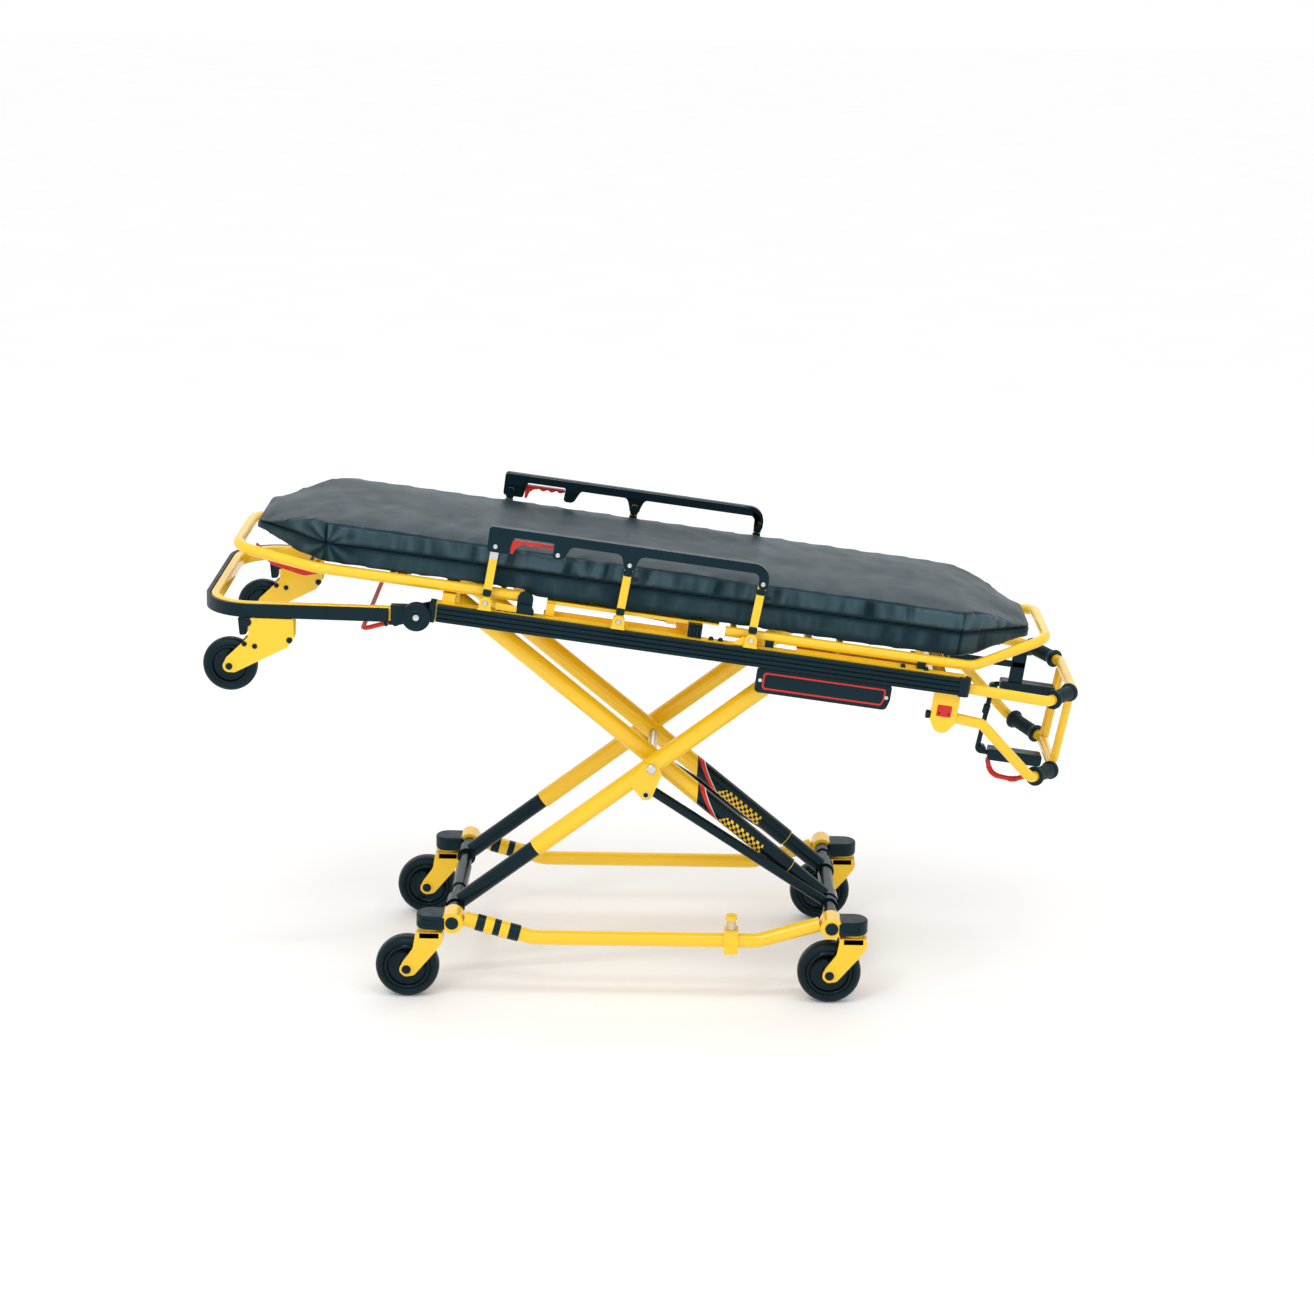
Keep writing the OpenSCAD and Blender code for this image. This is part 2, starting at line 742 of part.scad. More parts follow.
module backrest_frame()
    color(yellow) in_litter() {
        bent_solid(backrest_points, 80, round_profile(frame_tube_d));
        both_sides() difference() {
            union() {
                y_rod([hinge_u, frame_v], 226, 248.5, frame_tube_d);
                rod([-340, frame_y, frame_v], [hinge_u, frame_y, frame_v], frame_tube_d - 6);
            }
            y_rod([hinge_u, frame_v], 200, 260, eye_pin_d + 2 * run_gap);
        }
        bar_end = frame_y - frame_tube_d / 2 - 0.1;
        for (u = [-600, -790]) rod([u, -bar_end, frame_v - 5], [u, bar_end, frame_v - 5], 14);
        rod([-340, -bar_end, 50], [-340, bar_end, 50], 14);
        both_sides() y_plate(12, 16)
            polygon([[-350, 50], [-330, 50], [lever_u + 10, lever_v + 4], [lever_u + 6, lever_v - 8],
                [lever_u - 8, lever_v - 8]]);
    }

strut_angle = atan2(lever_v - strut_v, strut_u - lever_u);
strut_length = norm([strut_u - lever_u, lever_v - strut_v]);

module in_strut()
    in_litter() translate([strut_u, 0, strut_v]) rotate([0, 180 + strut_angle, 0]) children();

module strut_cylinder()
    color(black) in_strut() difference() {
        union() {
            x_rod(8, 215, 22);
            y_rod([0, 0], -12, 12, 18);
        }
        y_rod([0, 0], -20, 20, 10 + 2 * run_gap);
        x_rod(100, 220, 10 + 2 * run_gap);
    }

module strut_rod()
    color(steel) in_strut() {
        x_rod(130, strut_length - 4, 10);
        y_rod([strut_length, 0], -9, 9, 14);
    }

// ---- siderails ----

module siderail_post(side, u)
    color(yellow) in_litter() on_side(side) difference() {
        y_plate(post_in, post_in + post_t) {
            translate([u, lug_v]) circle(d = post_w + 2);
            translate([u + post_lean, top_v]) circle(d = post_w + 2);
            translate([u, lug_v]) rotate(-atan2(post_lean, post_rise)) translate([-post_w / 2, 0])
                square([post_w, post_length]);
        }
        y_rod([u, lug_v], 200, 300, pin_d + 2 * run_gap);
        y_rod([u + post_lean, top_v], 200, 300, pin_d + 2 * run_gap);
    }

top_edge = top_v + 46;
slim = 22;
corner_r = 36;
foot_post_u = post_us[2] + post_lean;

module top_rail_outline() {
    translate([-386, top_edge - slim]) square([foot_post_u + 386 - corner_r + 12, slim]);
    translate([foot_post_u + 12 - corner_r, top_edge - corner_r]) difference() {
        circle(r = corner_r);
        circle(r = corner_r - slim);
        translate([-60, -60]) square([60, 120]);
        translate([-60, -60]) square([120, 60]);
    }
    translate([foot_post_u + 12 - slim, top_v]) square([slim, top_edge - corner_r - top_v]);
    translate([post_us[1] + post_lean - 12, top_v]) square([24, top_edge - top_v - slim + 2]);
    difference() {
        translate([-386, top_v - 10]) square([176, top_edge - top_v + 8]);
        translate([-334, top_v - 20]) square([104, 46]);
        translate([-230, top_v - 20]) square([40, 24]);
    }
    for (u = post_us) translate([u + post_lean, top_v]) circle(r = 12);
}

module top_rail(side)
    in_litter() on_side(side) {
        color(black) y_plate(270.5, 284) top_rail_outline();
        color(black) y_plate(261, 270.5) intersection() {
            top_rail_outline();
            translate([-500, top_v + 16]) square([900, 60]);
        }
        color(steel) for (u = post_us) y_rod([u + post_lean, top_v], 261.5, 270.5, pin_d);
        color(steel) for (u = post_us) y_rod([u + post_lean, top_v], 284, 286, 10);
    }

module trigger(side)
    color(red) in_litter() on_side(side) y_plate(266, 281) difference() {
        translate([-330, top_v + 8]) square([96, 12]);
        for (i = [0 : 4]) translate([-318 + 18 * i, top_v + 6]) circle(r = 5);
    }

base_cross_tubes();
base_side_rails();
corner_castings();
corner_bumpers();
rail_sleeves();
fastener_post();
castor_fork(-1, -1);  // castor_fork_near_head
castor_fork(-1, 1);  // castor_fork_far_head
castor_fork(1, -1);  // castor_fork_near_foot
castor_fork(1, 1);  // castor_fork_far_foot
ground_tyre(-1, -1);  // ground_tyre_near_head
ground_tyre(-1, 1);  // ground_tyre_far_head
ground_tyre(1, -1);  // ground_tyre_near_foot
ground_tyre(1, 1);  // ground_tyre_far_foot
ground_hub(-1, -1);  // ground_hub_near_head
ground_hub(-1, 1);  // ground_hub_far_head
ground_hub(1, -1);  // ground_hub_near_foot
ground_hub(1, 1);  // ground_hub_far_foot
long_leg_inner_tubes();
long_leg_outer_tubes();
long_leg_shafts();
short_leg_inner_tubes();
short_leg_outer_tubes();
short_leg_shaft();
link_bars();
litter_rails();
rail_bumpers();
litter_cross_members();
head_pivot_brackets();
support_brackets();
seat_panel();
foot_frame();
mattress_seat_foot();
foot_lift_bars();
lift_bar_grips();
name_plate();
release_housings();
upper_release_lever();
lower_release_lever();
head_section_frame();
head_section_rubber();
head_section_knuckles();
load_wheel_brackets();
load_wheel(-1);  // load_wheel_near
load_wheel(1);  // load_wheel_far
head_release_bail();
backrest_frame();
mattress_backrest();
strut_cylinder();
strut_rod();
siderail_post(-1, post_us[0]);  // near_post_head
siderail_post(-1, post_us[1]);  // near_post_middle
siderail_post(-1, post_us[2]);  // near_post_foot
top_rail(-1);  // near_top_rail
trigger(-1);  // near_trigger
siderail_post(1, post_us[0]);  // far_post_head
siderail_post(1, post_us[1]);  // far_post_middle
siderail_post(1, post_us[2]);  // far_post_foot
top_rail(1);  // far_top_rail
trigger(1);  // far_trigger
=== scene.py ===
"""Looks of the stretcher trolley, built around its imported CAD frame. Lengths are in millimetres until
a shape is placed, and the row frame is in metres."""

import json
import math
from math import cos, pi, radians, sin, tan

import bmesh
import bpy
from mathutils import Matrix, Vector, noise


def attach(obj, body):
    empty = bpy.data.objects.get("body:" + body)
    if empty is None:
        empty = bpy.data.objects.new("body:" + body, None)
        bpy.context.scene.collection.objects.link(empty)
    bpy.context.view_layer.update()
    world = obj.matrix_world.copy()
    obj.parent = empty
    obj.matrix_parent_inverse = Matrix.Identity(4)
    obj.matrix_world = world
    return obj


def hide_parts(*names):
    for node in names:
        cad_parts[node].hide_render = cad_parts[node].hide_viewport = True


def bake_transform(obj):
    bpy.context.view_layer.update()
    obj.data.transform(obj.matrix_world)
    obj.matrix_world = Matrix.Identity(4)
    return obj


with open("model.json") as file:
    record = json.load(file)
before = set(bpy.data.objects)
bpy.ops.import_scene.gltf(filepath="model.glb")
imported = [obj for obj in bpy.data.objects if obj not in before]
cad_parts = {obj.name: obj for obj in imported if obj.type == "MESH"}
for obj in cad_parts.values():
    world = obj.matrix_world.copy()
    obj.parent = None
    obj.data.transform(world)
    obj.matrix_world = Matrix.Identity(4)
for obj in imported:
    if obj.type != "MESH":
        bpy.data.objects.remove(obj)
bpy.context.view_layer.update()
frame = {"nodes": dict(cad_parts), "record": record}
nodes = frame["nodes"]
record = frame["record"]

MM = 0.001
Y = Vector((0, 1, 0))
Z = Vector((0, 0, 1))
NEAR, FAR = -1, 1
SIDES = ((NEAR, "near"), (FAR, "far"))
ENDS = ((-1, "head"), (1, "foot"))

# ---- frames of the moving parts ----

joints = {j["name"]: j for j in record["behaviour"]["joints"]}
mounts = {m["name"]: m for m in record["mounts"]}
MATTRESS_TOP_U, MATTRESS_TOP_V = 250, 172


def litter_matrix():
    """From litter millimetres (along, across, square to the litter) to the row frame."""
    face = mounts["mattress_top"]
    tilt = math.atan2(face["axis"][0], face["axis"][2])
    turn = Matrix.Rotation(tilt, 4, "Y") @ Matrix.Scale(MM, 4)
    at = Vector(face["pos_m"]) - (turn @ Vector((MATTRESS_TOP_U, 0, MATTRESS_TOP_V)))
    return Matrix.Translation(at) @ turn


def at_joint(name, tilt=0.0):
    """A millimetre frame at a joint's pivot."""
    turn = Matrix.Rotation(radians(tilt), 4, "Y") @ Matrix.Scale(MM, 4)
    return Matrix.Translation(joints[name]["pos_m"]) @ turn


ROW = Matrix.Scale(MM, 4)
LITTER = litter_matrix()
HEAD_TILT = 1.15
HEAD = at_joint("head_section_fold", HEAD_TILT)


# ---- shapes ----


def rounded(corners, steps=6):
    """Outline through (x, y, radius) corners, each rounded with an arc."""
    out = []
    count = len(corners)
    for i, (x, y, r) in enumerate(corners):
        p = Vector((x, y))
        back = (Vector(corners[i - 1][:2]) - p).normalized()
        ahead = (Vector(corners[(i + 1) % count][:2]) - p).normalized()
        if r <= 0:
            out.append(p)
            continue
        half = back.angle(ahead) / 2
        centre = p + (back + ahead).normalized() * r / sin(half)
        start = p + back * r / tan(half) - centre
        sweep = pi - 2 * half
        way = 1 if back.x * ahead.y - back.y * ahead.x < 0 else -1
        for k in range(steps + 1):
            out.append(centre + Matrix.Rotation(way * sweep * k / steps, 2) @ start)
    return [(q.x, q.y) for q in out]


def bent(points, bend, steps=14):
    """Points of a run whose corners are rounded to the bend radius."""
    pts = [Vector(p) for p in points]
    out = [pts[0]]
    for a, p, b in zip(pts, pts[1:], pts[2:]):
        d, e = (p - a).normalized(), (b - p).normalized()
        angle = d.angle(e)
        centre = p + (e - d).normalized() * bend / cos(angle / 2)
        start = p - d * bend * tan(angle / 2) - centre
        axis = d.cross(e).normalized()
        out += [centre + Matrix.Rotation(angle * i / steps, 3, axis) @ start for i in range(steps + 1)]
    return out + [pts[-1]]


def mirrored(half):
    """An outline given up to its middle height, and the mirror image of that half above it."""
    return half + [(r, -h) for r, h in reversed(half) if h]


def both_sides(half):
    """Points on the near side, and then their mirror images on the far side."""
    return half + [(u, -y, rest) for u, y, rest in reversed(half)]


def circle(r, sides=36):
    return [(r * cos(2 * pi * i / sides), r * sin(2 * pi * i / sides)) for i in range(sides)]


def bar(w, h, c):
    """Outline of a bar's section with rounded corners, w across and h high."""
    return rounded([(w / 2, -h / 2, c), (w / 2, h / 2, c), (-w / 2, h / 2, c), (-w / 2, -h / 2, c)], 5)


class Shape:
    """A mesh drawn in millimetres in a local frame; side -1 mirrors it to the near side."""

    def __init__(self, place, side=FAR):
        self.bm = bmesh.new()
        self.place = place
        self.side = side

    def vert(self, p):
        return self.bm.verts.new(self.place @ Vector((p[0], p[1] * self.side, p[2])))

    def face(self, verts):
        self.bm.faces.new(verts)

    def join(self, rings, closed=False):
        pairs = list(zip(rings, rings[1:])) + ([(rings[-1], rings[0])] if closed else [])
        for p, q in pairs:
            for j in range(max(len(p), len(q))):
                k = j + 1
                corners = [p[j % len(p)], p[k % len(p)], q[k % len(q)], q[j % len(q)]]
                self.face(list(dict.fromkeys(corners)))
        return self

    def sweep(self, path, profile, up=Z):
        rings = []
        last = len(path) - 1
        for i, p in enumerate(path):
            d = (path[min(i + 1, last)] - path[max(i - 1, 0)]).normalized()
            across = up.cross(d).normalized()
            top = d.cross(across)
            rings.append([self.vert(p + across * a + top * b) for a, b in profile])
        self.face(rings[0])
        self.face(rings[-1])
        return self.join(rings)

    def tube(self, points, bend, d, up=Z):
        return self.sweep(bent(points, bend), circle(d / 2), up)

    def lathe(self, profile, at=(0, 0, 0), axis=Y, steps=48, closed=False):
        """Turns (radius, height) points about the axis through at."""
        at = Vector(at)
        axis = Vector(axis).normalized()
        a = axis.orthogonal().normalized()
        b = axis.cross(a)
        rings = []
        for r, h in profile:
            if r < 1e-6:
                rings.append([self.vert(at + axis * h)])
                continue
            turn = [2 * pi * i / steps for i in range(steps)]
            rings.append([self.vert(at + axis * h + (a * cos(t) + b * sin(t)) * r) for t in turn])
        return self.join(rings, closed)

    def rod(self, p, q, d, chamfer=0.8, steps=36):
        p, q = Vector(p), Vector(q)
        r, h, c = d / 2, (q - p).length, chamfer
        return self.lathe([(0, 0), (r - c, 0), (r, c), (r, h - c), (r - c, h), (0, h)], p, q - p, steps)

    def y_rod(self, u, v, y0, y1, d, chamfer=0.8, steps=36):
        return self.rod((u, y0, v), (u, y1, v), d, chamfer, steps)

    def prism(self, outline, lo, hi, axis="y"):
        """Outline swept straight along y, where it is given in x and z, or along z, in x and y."""
        rings = []
        for h in (lo, hi):
            points = [(a, h, b) if axis == "y" else (a, b, h) for a, b in outline]
            rings.append([self.vert(p) for p in points])
        self.face(rings[0])
        self.face(rings[1])
        return self.join(rings)

    def box(self, lo, hi):
        (x0, y0, z0), (x1, y1, z1) = lo, hi
        return self.prism([(x0, y0), (x1, y0), (x1, y1), (x0, y1)], z0, z1, "z")

    def piece(self, name, slot, body, bevel=0.0, segments=2, replaces=(), angle=32, material=None):
        """Turns the shape into a named object with its slot's material, riding on the body."""
        mesh = bpy.data.meshes.new(name)
        bmesh.ops.recalc_face_normals(self.bm, faces=self.bm.faces)
        self.bm.to_mesh(mesh)
        self.bm.free()
        mesh.shade_smooth()
        mesh.set_sharp_from_angle(angle=radians(angle))
        mesh.materials.append(material or MATERIAL[slot])
        obj = bpy.data.objects.new(name, mesh)
        bpy.context.scene.collection.objects.link(obj)
        if bevel:
            edge = obj.modifiers.new("edge", "BEVEL")
            edge.width = bevel * MM
            edge.segments = segments
            edge.limit_method = "ANGLE"
            edge.angle_limit = radians(angle)
            edge.harden_normals = True
        if body:
            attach(obj, body)
        if replaces:
            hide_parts(*replaces)
        return obj


# ---- materials ----


class Material:
    """A node material with colour variation, worn roughness and a fine bump."""

    def __init__(self, name, colour, roughness, metallic=0.0):
        self.material = bpy.data.materials.new(name)
        self.material.use_nodes = True
        self.nodes = self.material.node_tree.nodes
        self.links = self.material.node_tree.links
        self.shader = self.nodes["Principled BSDF"]
        self.shader.inputs["Metallic"].default_value = metallic
        self.colour = colour
        self.roughness = roughness
        self.coords = self.nodes.new("ShaderNodeTexCoord").outputs["Object"]

    def noise(self, scale, detail=3.0, rough=0.5, stretch=None):
        n = self.nodes.new("ShaderNodeTexNoise")
        n.inputs["Scale"].default_value = scale
        n.inputs["Detail"].default_value = detail
        n.inputs["Roughness"].default_value = rough
        source = self.coords
        if stretch:
            move = self.nodes.new("ShaderNodeMapping")
            move.inputs["Scale"].default_value = stretch
            self.links.new(self.coords, move.inputs["Vector"])
            source = move.outputs[0]
        self.links.new(source, n.inputs["Vector"])
        return n.outputs["Fac"]

    def ramp(self, fac, stops):
        r = self.nodes.new("ShaderNodeValToRGB")
        for element, (at, c) in zip(r.color_ramp.elements, (stops[0], stops[-1])):
            element.position = at
            element.color = (*c, 1)
        for at, c in stops[1:-1]:
            r.color_ramp.elements.new(at).color = (*c, 1)
        self.links.new(fac, r.inputs["Fac"])
        return r.outputs["Color"]

    def vary(self, scale, amount=0.12, spread=0.06):
        """Slow drift of the colour and of the roughness."""
        c = self.colour
        darker = tuple(x * (1 - amount) for x in c)
        lighter = tuple(min(1, x * (1 + amount)) for x in c)
        stops = [(0.3, darker), (0.7, lighter)]
        self.links.new(self.ramp(self.noise(scale), stops), self.shader.inputs["Base Color"])
        grey = [(0.3, (self.roughness - spread,) * 3), (0.7, (self.roughness + spread,) * 3)]
        self.links.new(self.ramp(self.noise(scale * 6, 5), grey), self.shader.inputs["Roughness"])
        return self

    def bump(self, height, distance, strength=1.0):
        b = self.nodes.new("ShaderNodeBump")
        b.inputs["Distance"].default_value = distance
        b.inputs["Strength"].default_value = strength
        self.links.new(height, b.inputs["Height"])
        self.links.new(b.outputs[0], self.shader.inputs["Normal"])
        return self

    def set(self, **values):
        for key, value in values.items():
            self.shader.inputs[key.replace("_", " ")].default_value = value
        return self


def voronoi(m, scale, feature="F1"):
    v = m.nodes.new("ShaderNodeTexVoronoi")
    v.feature = feature
    v.inputs["Scale"].default_value = scale
    m.links.new(m.coords, v.inputs["Vector"])
    return v.outputs["Distance"]


DARK_GLOSS = dict(Specular_IOR_Level=0.3, Specular_Tint=(0.45, 0.85, 1.0, 1))


def make_materials():
    yellow = Material("yellow_paint", (0.93, 0.575, 0.008), 0.22).vary(5, 0.03, 0.04)
    yellow.bump(yellow.noise(420, 2), 0.00006, 0.6).set(Coat_Weight=0.35, Coat_Roughness=0.06)
    black = Material("black_paint", (0.003, 0.007, 0.010), 0.24).vary(6, 0.2, 0.06)
    black.bump(black.noise(500, 2), 0.00006, 0.6).set(**DARK_GLOSS)
    rubber = Material("black_rubber", (0.003, 0.009, 0.013), 0.42).vary(8, 0.25, 0.07)
    rubber.bump(rubber.noise(900, 3), 0.00012, 0.7).set(**DARK_GLOSS)
    plastic = Material("black_plastic", (0.003, 0.010, 0.015), 0.34).vary(7, 0.2, 0.06)
    plastic.bump(voronoi(plastic, 900), 0.00008, 0.6).set(**DARK_GLOSS)
    steel = Material("bright_steel", (0.62, 0.63, 0.65), 0.28, 1.0).vary(9, 0.1, 0.08)
    steel.bump(steel.noise(700, 3, stretch=(1, 30, 1)), 0.00005, 0.5)
    red = Material("red_plastic", (0.62, 0.022, 0.012), 0.36).vary(12, 0.14, 0.05)
    red.bump(red.noise(700, 2), 0.0001, 0.6).set(Specular_IOR_Level=0.35)
    tyre = Material("tyre", (0.003, 0.006, 0.008), 0.42).vary(14, 0.3, 0.08)
    tyre.bump(tyre.noise(800, 4), 0.00015, 0.8).set(**DARK_GLOSS)
    hub = Material("hub_plastic", (0.002, 0.004, 0.006), 0.22).vary(10, 0.2, 0.05)
    hub.bump(hub.noise(600, 3), 0.00005, 0.5).set(**DARK_GLOSS)
    vinyl = Material("vinyl", (0.003, 0.013, 0.019), 0.40).vary(3, 0.22, 0.05)
    grain = vinyl.nodes.new("ShaderNodeMath")
    grain.operation = "ADD"
    vinyl.links.new(voronoi(vinyl, 1100), grain.inputs[0])
    vinyl.links.new(vinyl.noise(160, 4), grain.inputs[1])
    vinyl.bump(grain.outputs[0], 0.00014, 0.8)
    # Painted shade and light on the folds: the value read here colours the cover darker in its grooves and
    # seams and lighter on its crests, and raises the specular level on the crests as a painted highlight.
    fold = vinyl.nodes.new("ShaderNodeAttribute")
    fold.attribute_name = "fold"
    fold_shade_tones = [(0.12, (0.0008, 0.002, 0.003)), (0.5, (0.003, 0.013, 0.019)), (0.9, (0.035, 0.062, 0.076))]
    vinyl.links.new(vinyl.ramp(fold.outputs["Fac"], fold_shade_tones), vinyl.shader.inputs["Base Color"])
    vinyl.set(Specular_Tint=(0.5, 0.88, 1.0, 1))
    crest_highlight = [(0.12, (0.03,) * 3), (0.5, (0.22,) * 3), (0.9, (0.62,) * 3)]
    vinyl.links.new(vinyl.ramp(fold.outputs["Fac"], crest_highlight), vinyl.shader.inputs["Specular IOR Level"])
    vinyl.set(Sheen_Weight=0.05, Sheen_Roughness=0.5, Sheen_Tint=(0.5, 0.85, 0.95, 1))
    found = dict(yellow_paint=yellow, black_paint=black, black_rubber=rubber, black_plastic=plastic,
                 bright_steel=steel, red_plastic=red, tyre=tyre, hub_plastic=hub, vinyl=vinyl)
    return {name: m.material for name, m in found.items()}


MATERIAL = make_materials()


def dress_nodes():
    """Every CAD node that stays visible gets the material of its slot."""
    for part in record["subparts"]:
        obj = nodes[part["node"]]
        for place in obj.material_slots:
            place.material = MATERIAL[part["material_slot"]]


# ---- mattress ----

MATTRESS_OUTLINE = both_sides([(-930, -112, 30), (-757, -234, 40), (722, -234, 40), (896, -95, 30)])
BLOCK_LOW, BLOCK_HIGH = 62, 165
HINGE_U, BACK_V = -285, 58
SEAM_V = 118
PIPING_V = 166
HEAD_SEAM_U, FOOT_SEAM_U = -757, 720


def smooth(a, b, x):
    t = min(1, max(0, (x - a) / (b - a)))
    return t * t * (3 - 2 * t)


def bottom_v(u):
    """The mattress rests on the backrest tube at the head and on the seat panel, and its ends curve up."""
    return 60 + 13 * smooth(-255, -300, u) + 26 * smooth(-800, -925, u) + 34 * smooth(730, 895, u)


def top_v(u):
    """The cover slopes down to a thin edge at both ends."""
    return 165 - 46 * smooth(-775, -930, u) ** 1.1 - 42 * smooth(735, 896, u) ** 1.1


def near_seam(u, v):
    """How near a side point is to a sewn line, from 0 to 1."""
    flat = min(abs(v - SEAM_V), abs(v - PIPING_V), abs(v - bottom_v(u)))
    return 1 - smooth(2, 9, min(flat, abs(u - HEAD_SEAM_U), abs(u - FOOT_SEAM_U)))


def pleats(u, v, seed):
    """Upright folds of the gathered side panels."""
    lean = 0.35 * (v - SEAM_V) * noise.noise(Vector((u / 90, 0, seed)))
    wide = 1 - 2.2 * abs(noise.noise(Vector(((u + lean) / 44, v / 170, seed))))
    fine = 1 - 2.0 * abs(noise.noise(Vector(((u + lean) / 17, v / 90, seed + 9))))
    return wide + 0.4 * fine


def pin_weight(p, outline):
    """How firmly a point of the cover is held: underneath, at the top's rim and along the seams."""
    low, high = bottom_v(p.x), top_v(p.x)
    if p.z <= low + 2:
        return 1.0
    if p.z > high - 5 and edge_distance(outline, p.x, p.y) < 7:
        return 1.0
    if p.z < high - 5:
        return near_seam(p.x, p.z)
    return 0.0


def bake(obj):
    """Turns the object's modifiers into its mesh."""
    bpy.context.view_layer.update()
    mesh = bpy.data.meshes.new_from_object(obj.evaluated_get(bpy.context.evaluated_depsgraph_get()))
    obj.modifiers.clear()
    obj.data = mesh
    return mesh


def swell(obj, pinned):
    """Cloth under pressure puffs the cover out between its seams."""
    group = obj.vertex_groups.new(name="pin")
    for i, weight in pinned:
        group.add([i], weight, "REPLACE")
    cloth = obj.modifiers.new("cloth", "CLOTH")
    s = cloth.settings
    s.quality = 4
    s.use_pressure = True
    s.uniform_pressure_force = 4
    s.vertex_group_mass = "pin"
    s.effector_weights.gravity = 0
    s.tension_stiffness = s.compression_stiffness = 12
    s.bending_stiffness = 1.5
    cloth.collision_settings.use_collision = False
    scene = bpy.context.scene
    for i in range(1, 21):
        scene.frame_set(i)
    shape = obj.evaluated_get(bpy.context.evaluated_depsgraph_get()).to_mesh()
    moved = [v.co.copy() for v in shape.vertices]
    obj.modifiers.remove(cloth)
    obj.vertex_groups.remove(group)
    scene.frame_set(1)
    cap = 9 * MM
    for v, q in zip(obj.data.vertices, moved):
        step = q - v.co
        v.co += step * min(1, cap / max(step.length, 1e-9))


def make_mattress():
    """One cover for both cushions: a block shaped to the mattress, swollen as cloth and given its folds, with
    painted shade in their grooves and painted light on their crests.
    """
    outline = rounded(MATTRESS_OUTLINE, 8)
    shape = Shape(LITTER).prism(outline, BLOCK_LOW, BLOCK_HIGH, "z")
    back = LITTER.inverted()
    obj = shape.piece("mattress_cover", "vinyl", None)
    grid = obj.modifiers.new("grid", "REMESH")
    grid.mode = "VOXEL"
    grid.voxel_size = 8 * MM
    pinned = []
    for v in bake(obj).vertices:
        p = back @ v.co
        low = bottom_v(p.x)
        share = (p.z - BLOCK_LOW) / (BLOCK_HIGH - BLOCK_LOW)
        p.z = low + share * (top_v(p.x) - low)
        v.co = LITTER @ p
        pinned.append((v.index, pin_weight(p, outline)))
    swell(obj, pinned)
    fine = obj.modifiers.new("fine", "SUBSURF")
    fine.levels = fine.render_levels = 1
    whole = bake(obj)
    normals = [v.normal.copy() for v in whole.vertices]
    # The value stored here is painted shade and light: it follows the relief, so grooves and seams are
    # coloured darker and crests lighter, with less contrast on the top.
    fold = whole.attributes.new("fold", "FLOAT", "POINT")
    for v, n in zip(whole.vertices, normals):
        p = back @ v.co
        up = abs((back.to_3x3() @ n).normalized().z)
        out = cover_relief(p.x, p.y, p.z, up)
        v.co += n * MM * out
        fold.data[v.index].value = min(1, max(0, 0.5 + out * (0.075 - 0.05 * smooth(0.6, 0.95, up))))
    whole.shade_smooth()
    obj.data.materials.clear()
    obj.data.materials.append(MATERIAL["vinyl"])
    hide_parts("mattress_seat_foot", "mattress_backrest")
    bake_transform(obj)


def edge_distance(outline, x, y):
    """Distance from a point to the outline."""
    best = 1e9
    count = len(outline)
    for i in range(count):
        ax, ay = outline[i]
        bx, by = outline[(i + 1) % count]
        dx, dy = bx - ax, by - ay
        t = min(1, max(0, ((x - ax) * dx + (y - ay) * dy) / max(dx * dx + dy * dy, 1e-9)))
        best = min(best, math.hypot(x - ax - t * dx, y - ay - t * dy))
    return best


def cover_relief(u, y, v, up):
    """How far the cover stands out at a point, in millimetres: folds, seams and soft dents."""
    side = 1 - smooth(0.35, 0.8, up)
    seed = 3.1 if y < 0 else 8.7
    along = u if abs(u) < 760 else u + 0.6 * y
    upper = smooth(SEAM_V + 2, SEAM_V + 16, v) * (1 - smooth(PIPING_V - 12, PIPING_V, v))
    lower = smooth(66, 84, v) * (1 - smooth(SEAM_V - 14, SEAM_V - 2, v))
    busy = 0.55 + 0.75 * smooth(-430, -330, u) * (1 - smooth(-60, 60, u)) + 0.5 * smooth(520, 600, u)
    out = side * upper * 6.5 * busy * pleats(along, v, seed)
    out += side * lower * 1.7 * pleats(along * 0.7, v, seed + 4)
    groove = math.exp(-(((v - SEAM_V) / 2.6) ** 2)) + 0.9 * math.exp(-(((u - HEAD_SEAM_U) / 3.2) ** 2))
    groove += 0.9 * math.exp(-(((u - FOOT_SEAM_U) / 3.2) ** 2))
    out -= side * 4.5 * min(1, groove)
    gather = math.hypot(u - HEAD_SEAM_U - 6, 1.3 * (v - SEAM_V))
    if gather < 90:
        fan = math.atan2(v - SEAM_V, u - HEAD_SEAM_U - 6)
        out += side * 2.0 * sin(9 * fan) * smooth(4, 18, gather) * (1 - smooth(40, 90, gather))
    top = smooth(0.8, 0.97, up)
    slack = noise.noise(Vector((u / 210, y / 120, 1.7))) + 0.5 * noise.noise(Vector((u / 70, y / 150, 4.2)))
    crease = 1 - 2.4 * abs(noise.noise(Vector(((u + 0.5 * abs(y)) / 95, y / 260, 6.6))))
    lap = side * 1.3 * math.exp(-(((v - PIPING_V + 5) / 3.0) ** 2))
    return out + lap + top * (1.8 * slack + 0.9 * crease)


# ---- wheels and castors ----

WHEEL_R, TYRE_HALF_W = 76, 21.5
TYRE = mirrored([(56, -17), (57, -18.5), (60, -20.5), (66, -TYRE_HALF_W), (71, -19), (74.2, -14), (75.6, -7),
                 (WHEEL_R, 0)])
TYRE_LIP = [(61, 20.4), (62.5, 22.0), (64.5, 22.0), (66, 21.0), (64, 19.5)]
HUB = mirrored([(6.1, -24), (13, -24), (15, -23), (16.5, -20), (18, -13), (22, -9.5), (31, -8), (40, -9.5),
                (45, -13), (47, -18), (49, -19.5), (54, -19.5), (55.8, -18)])


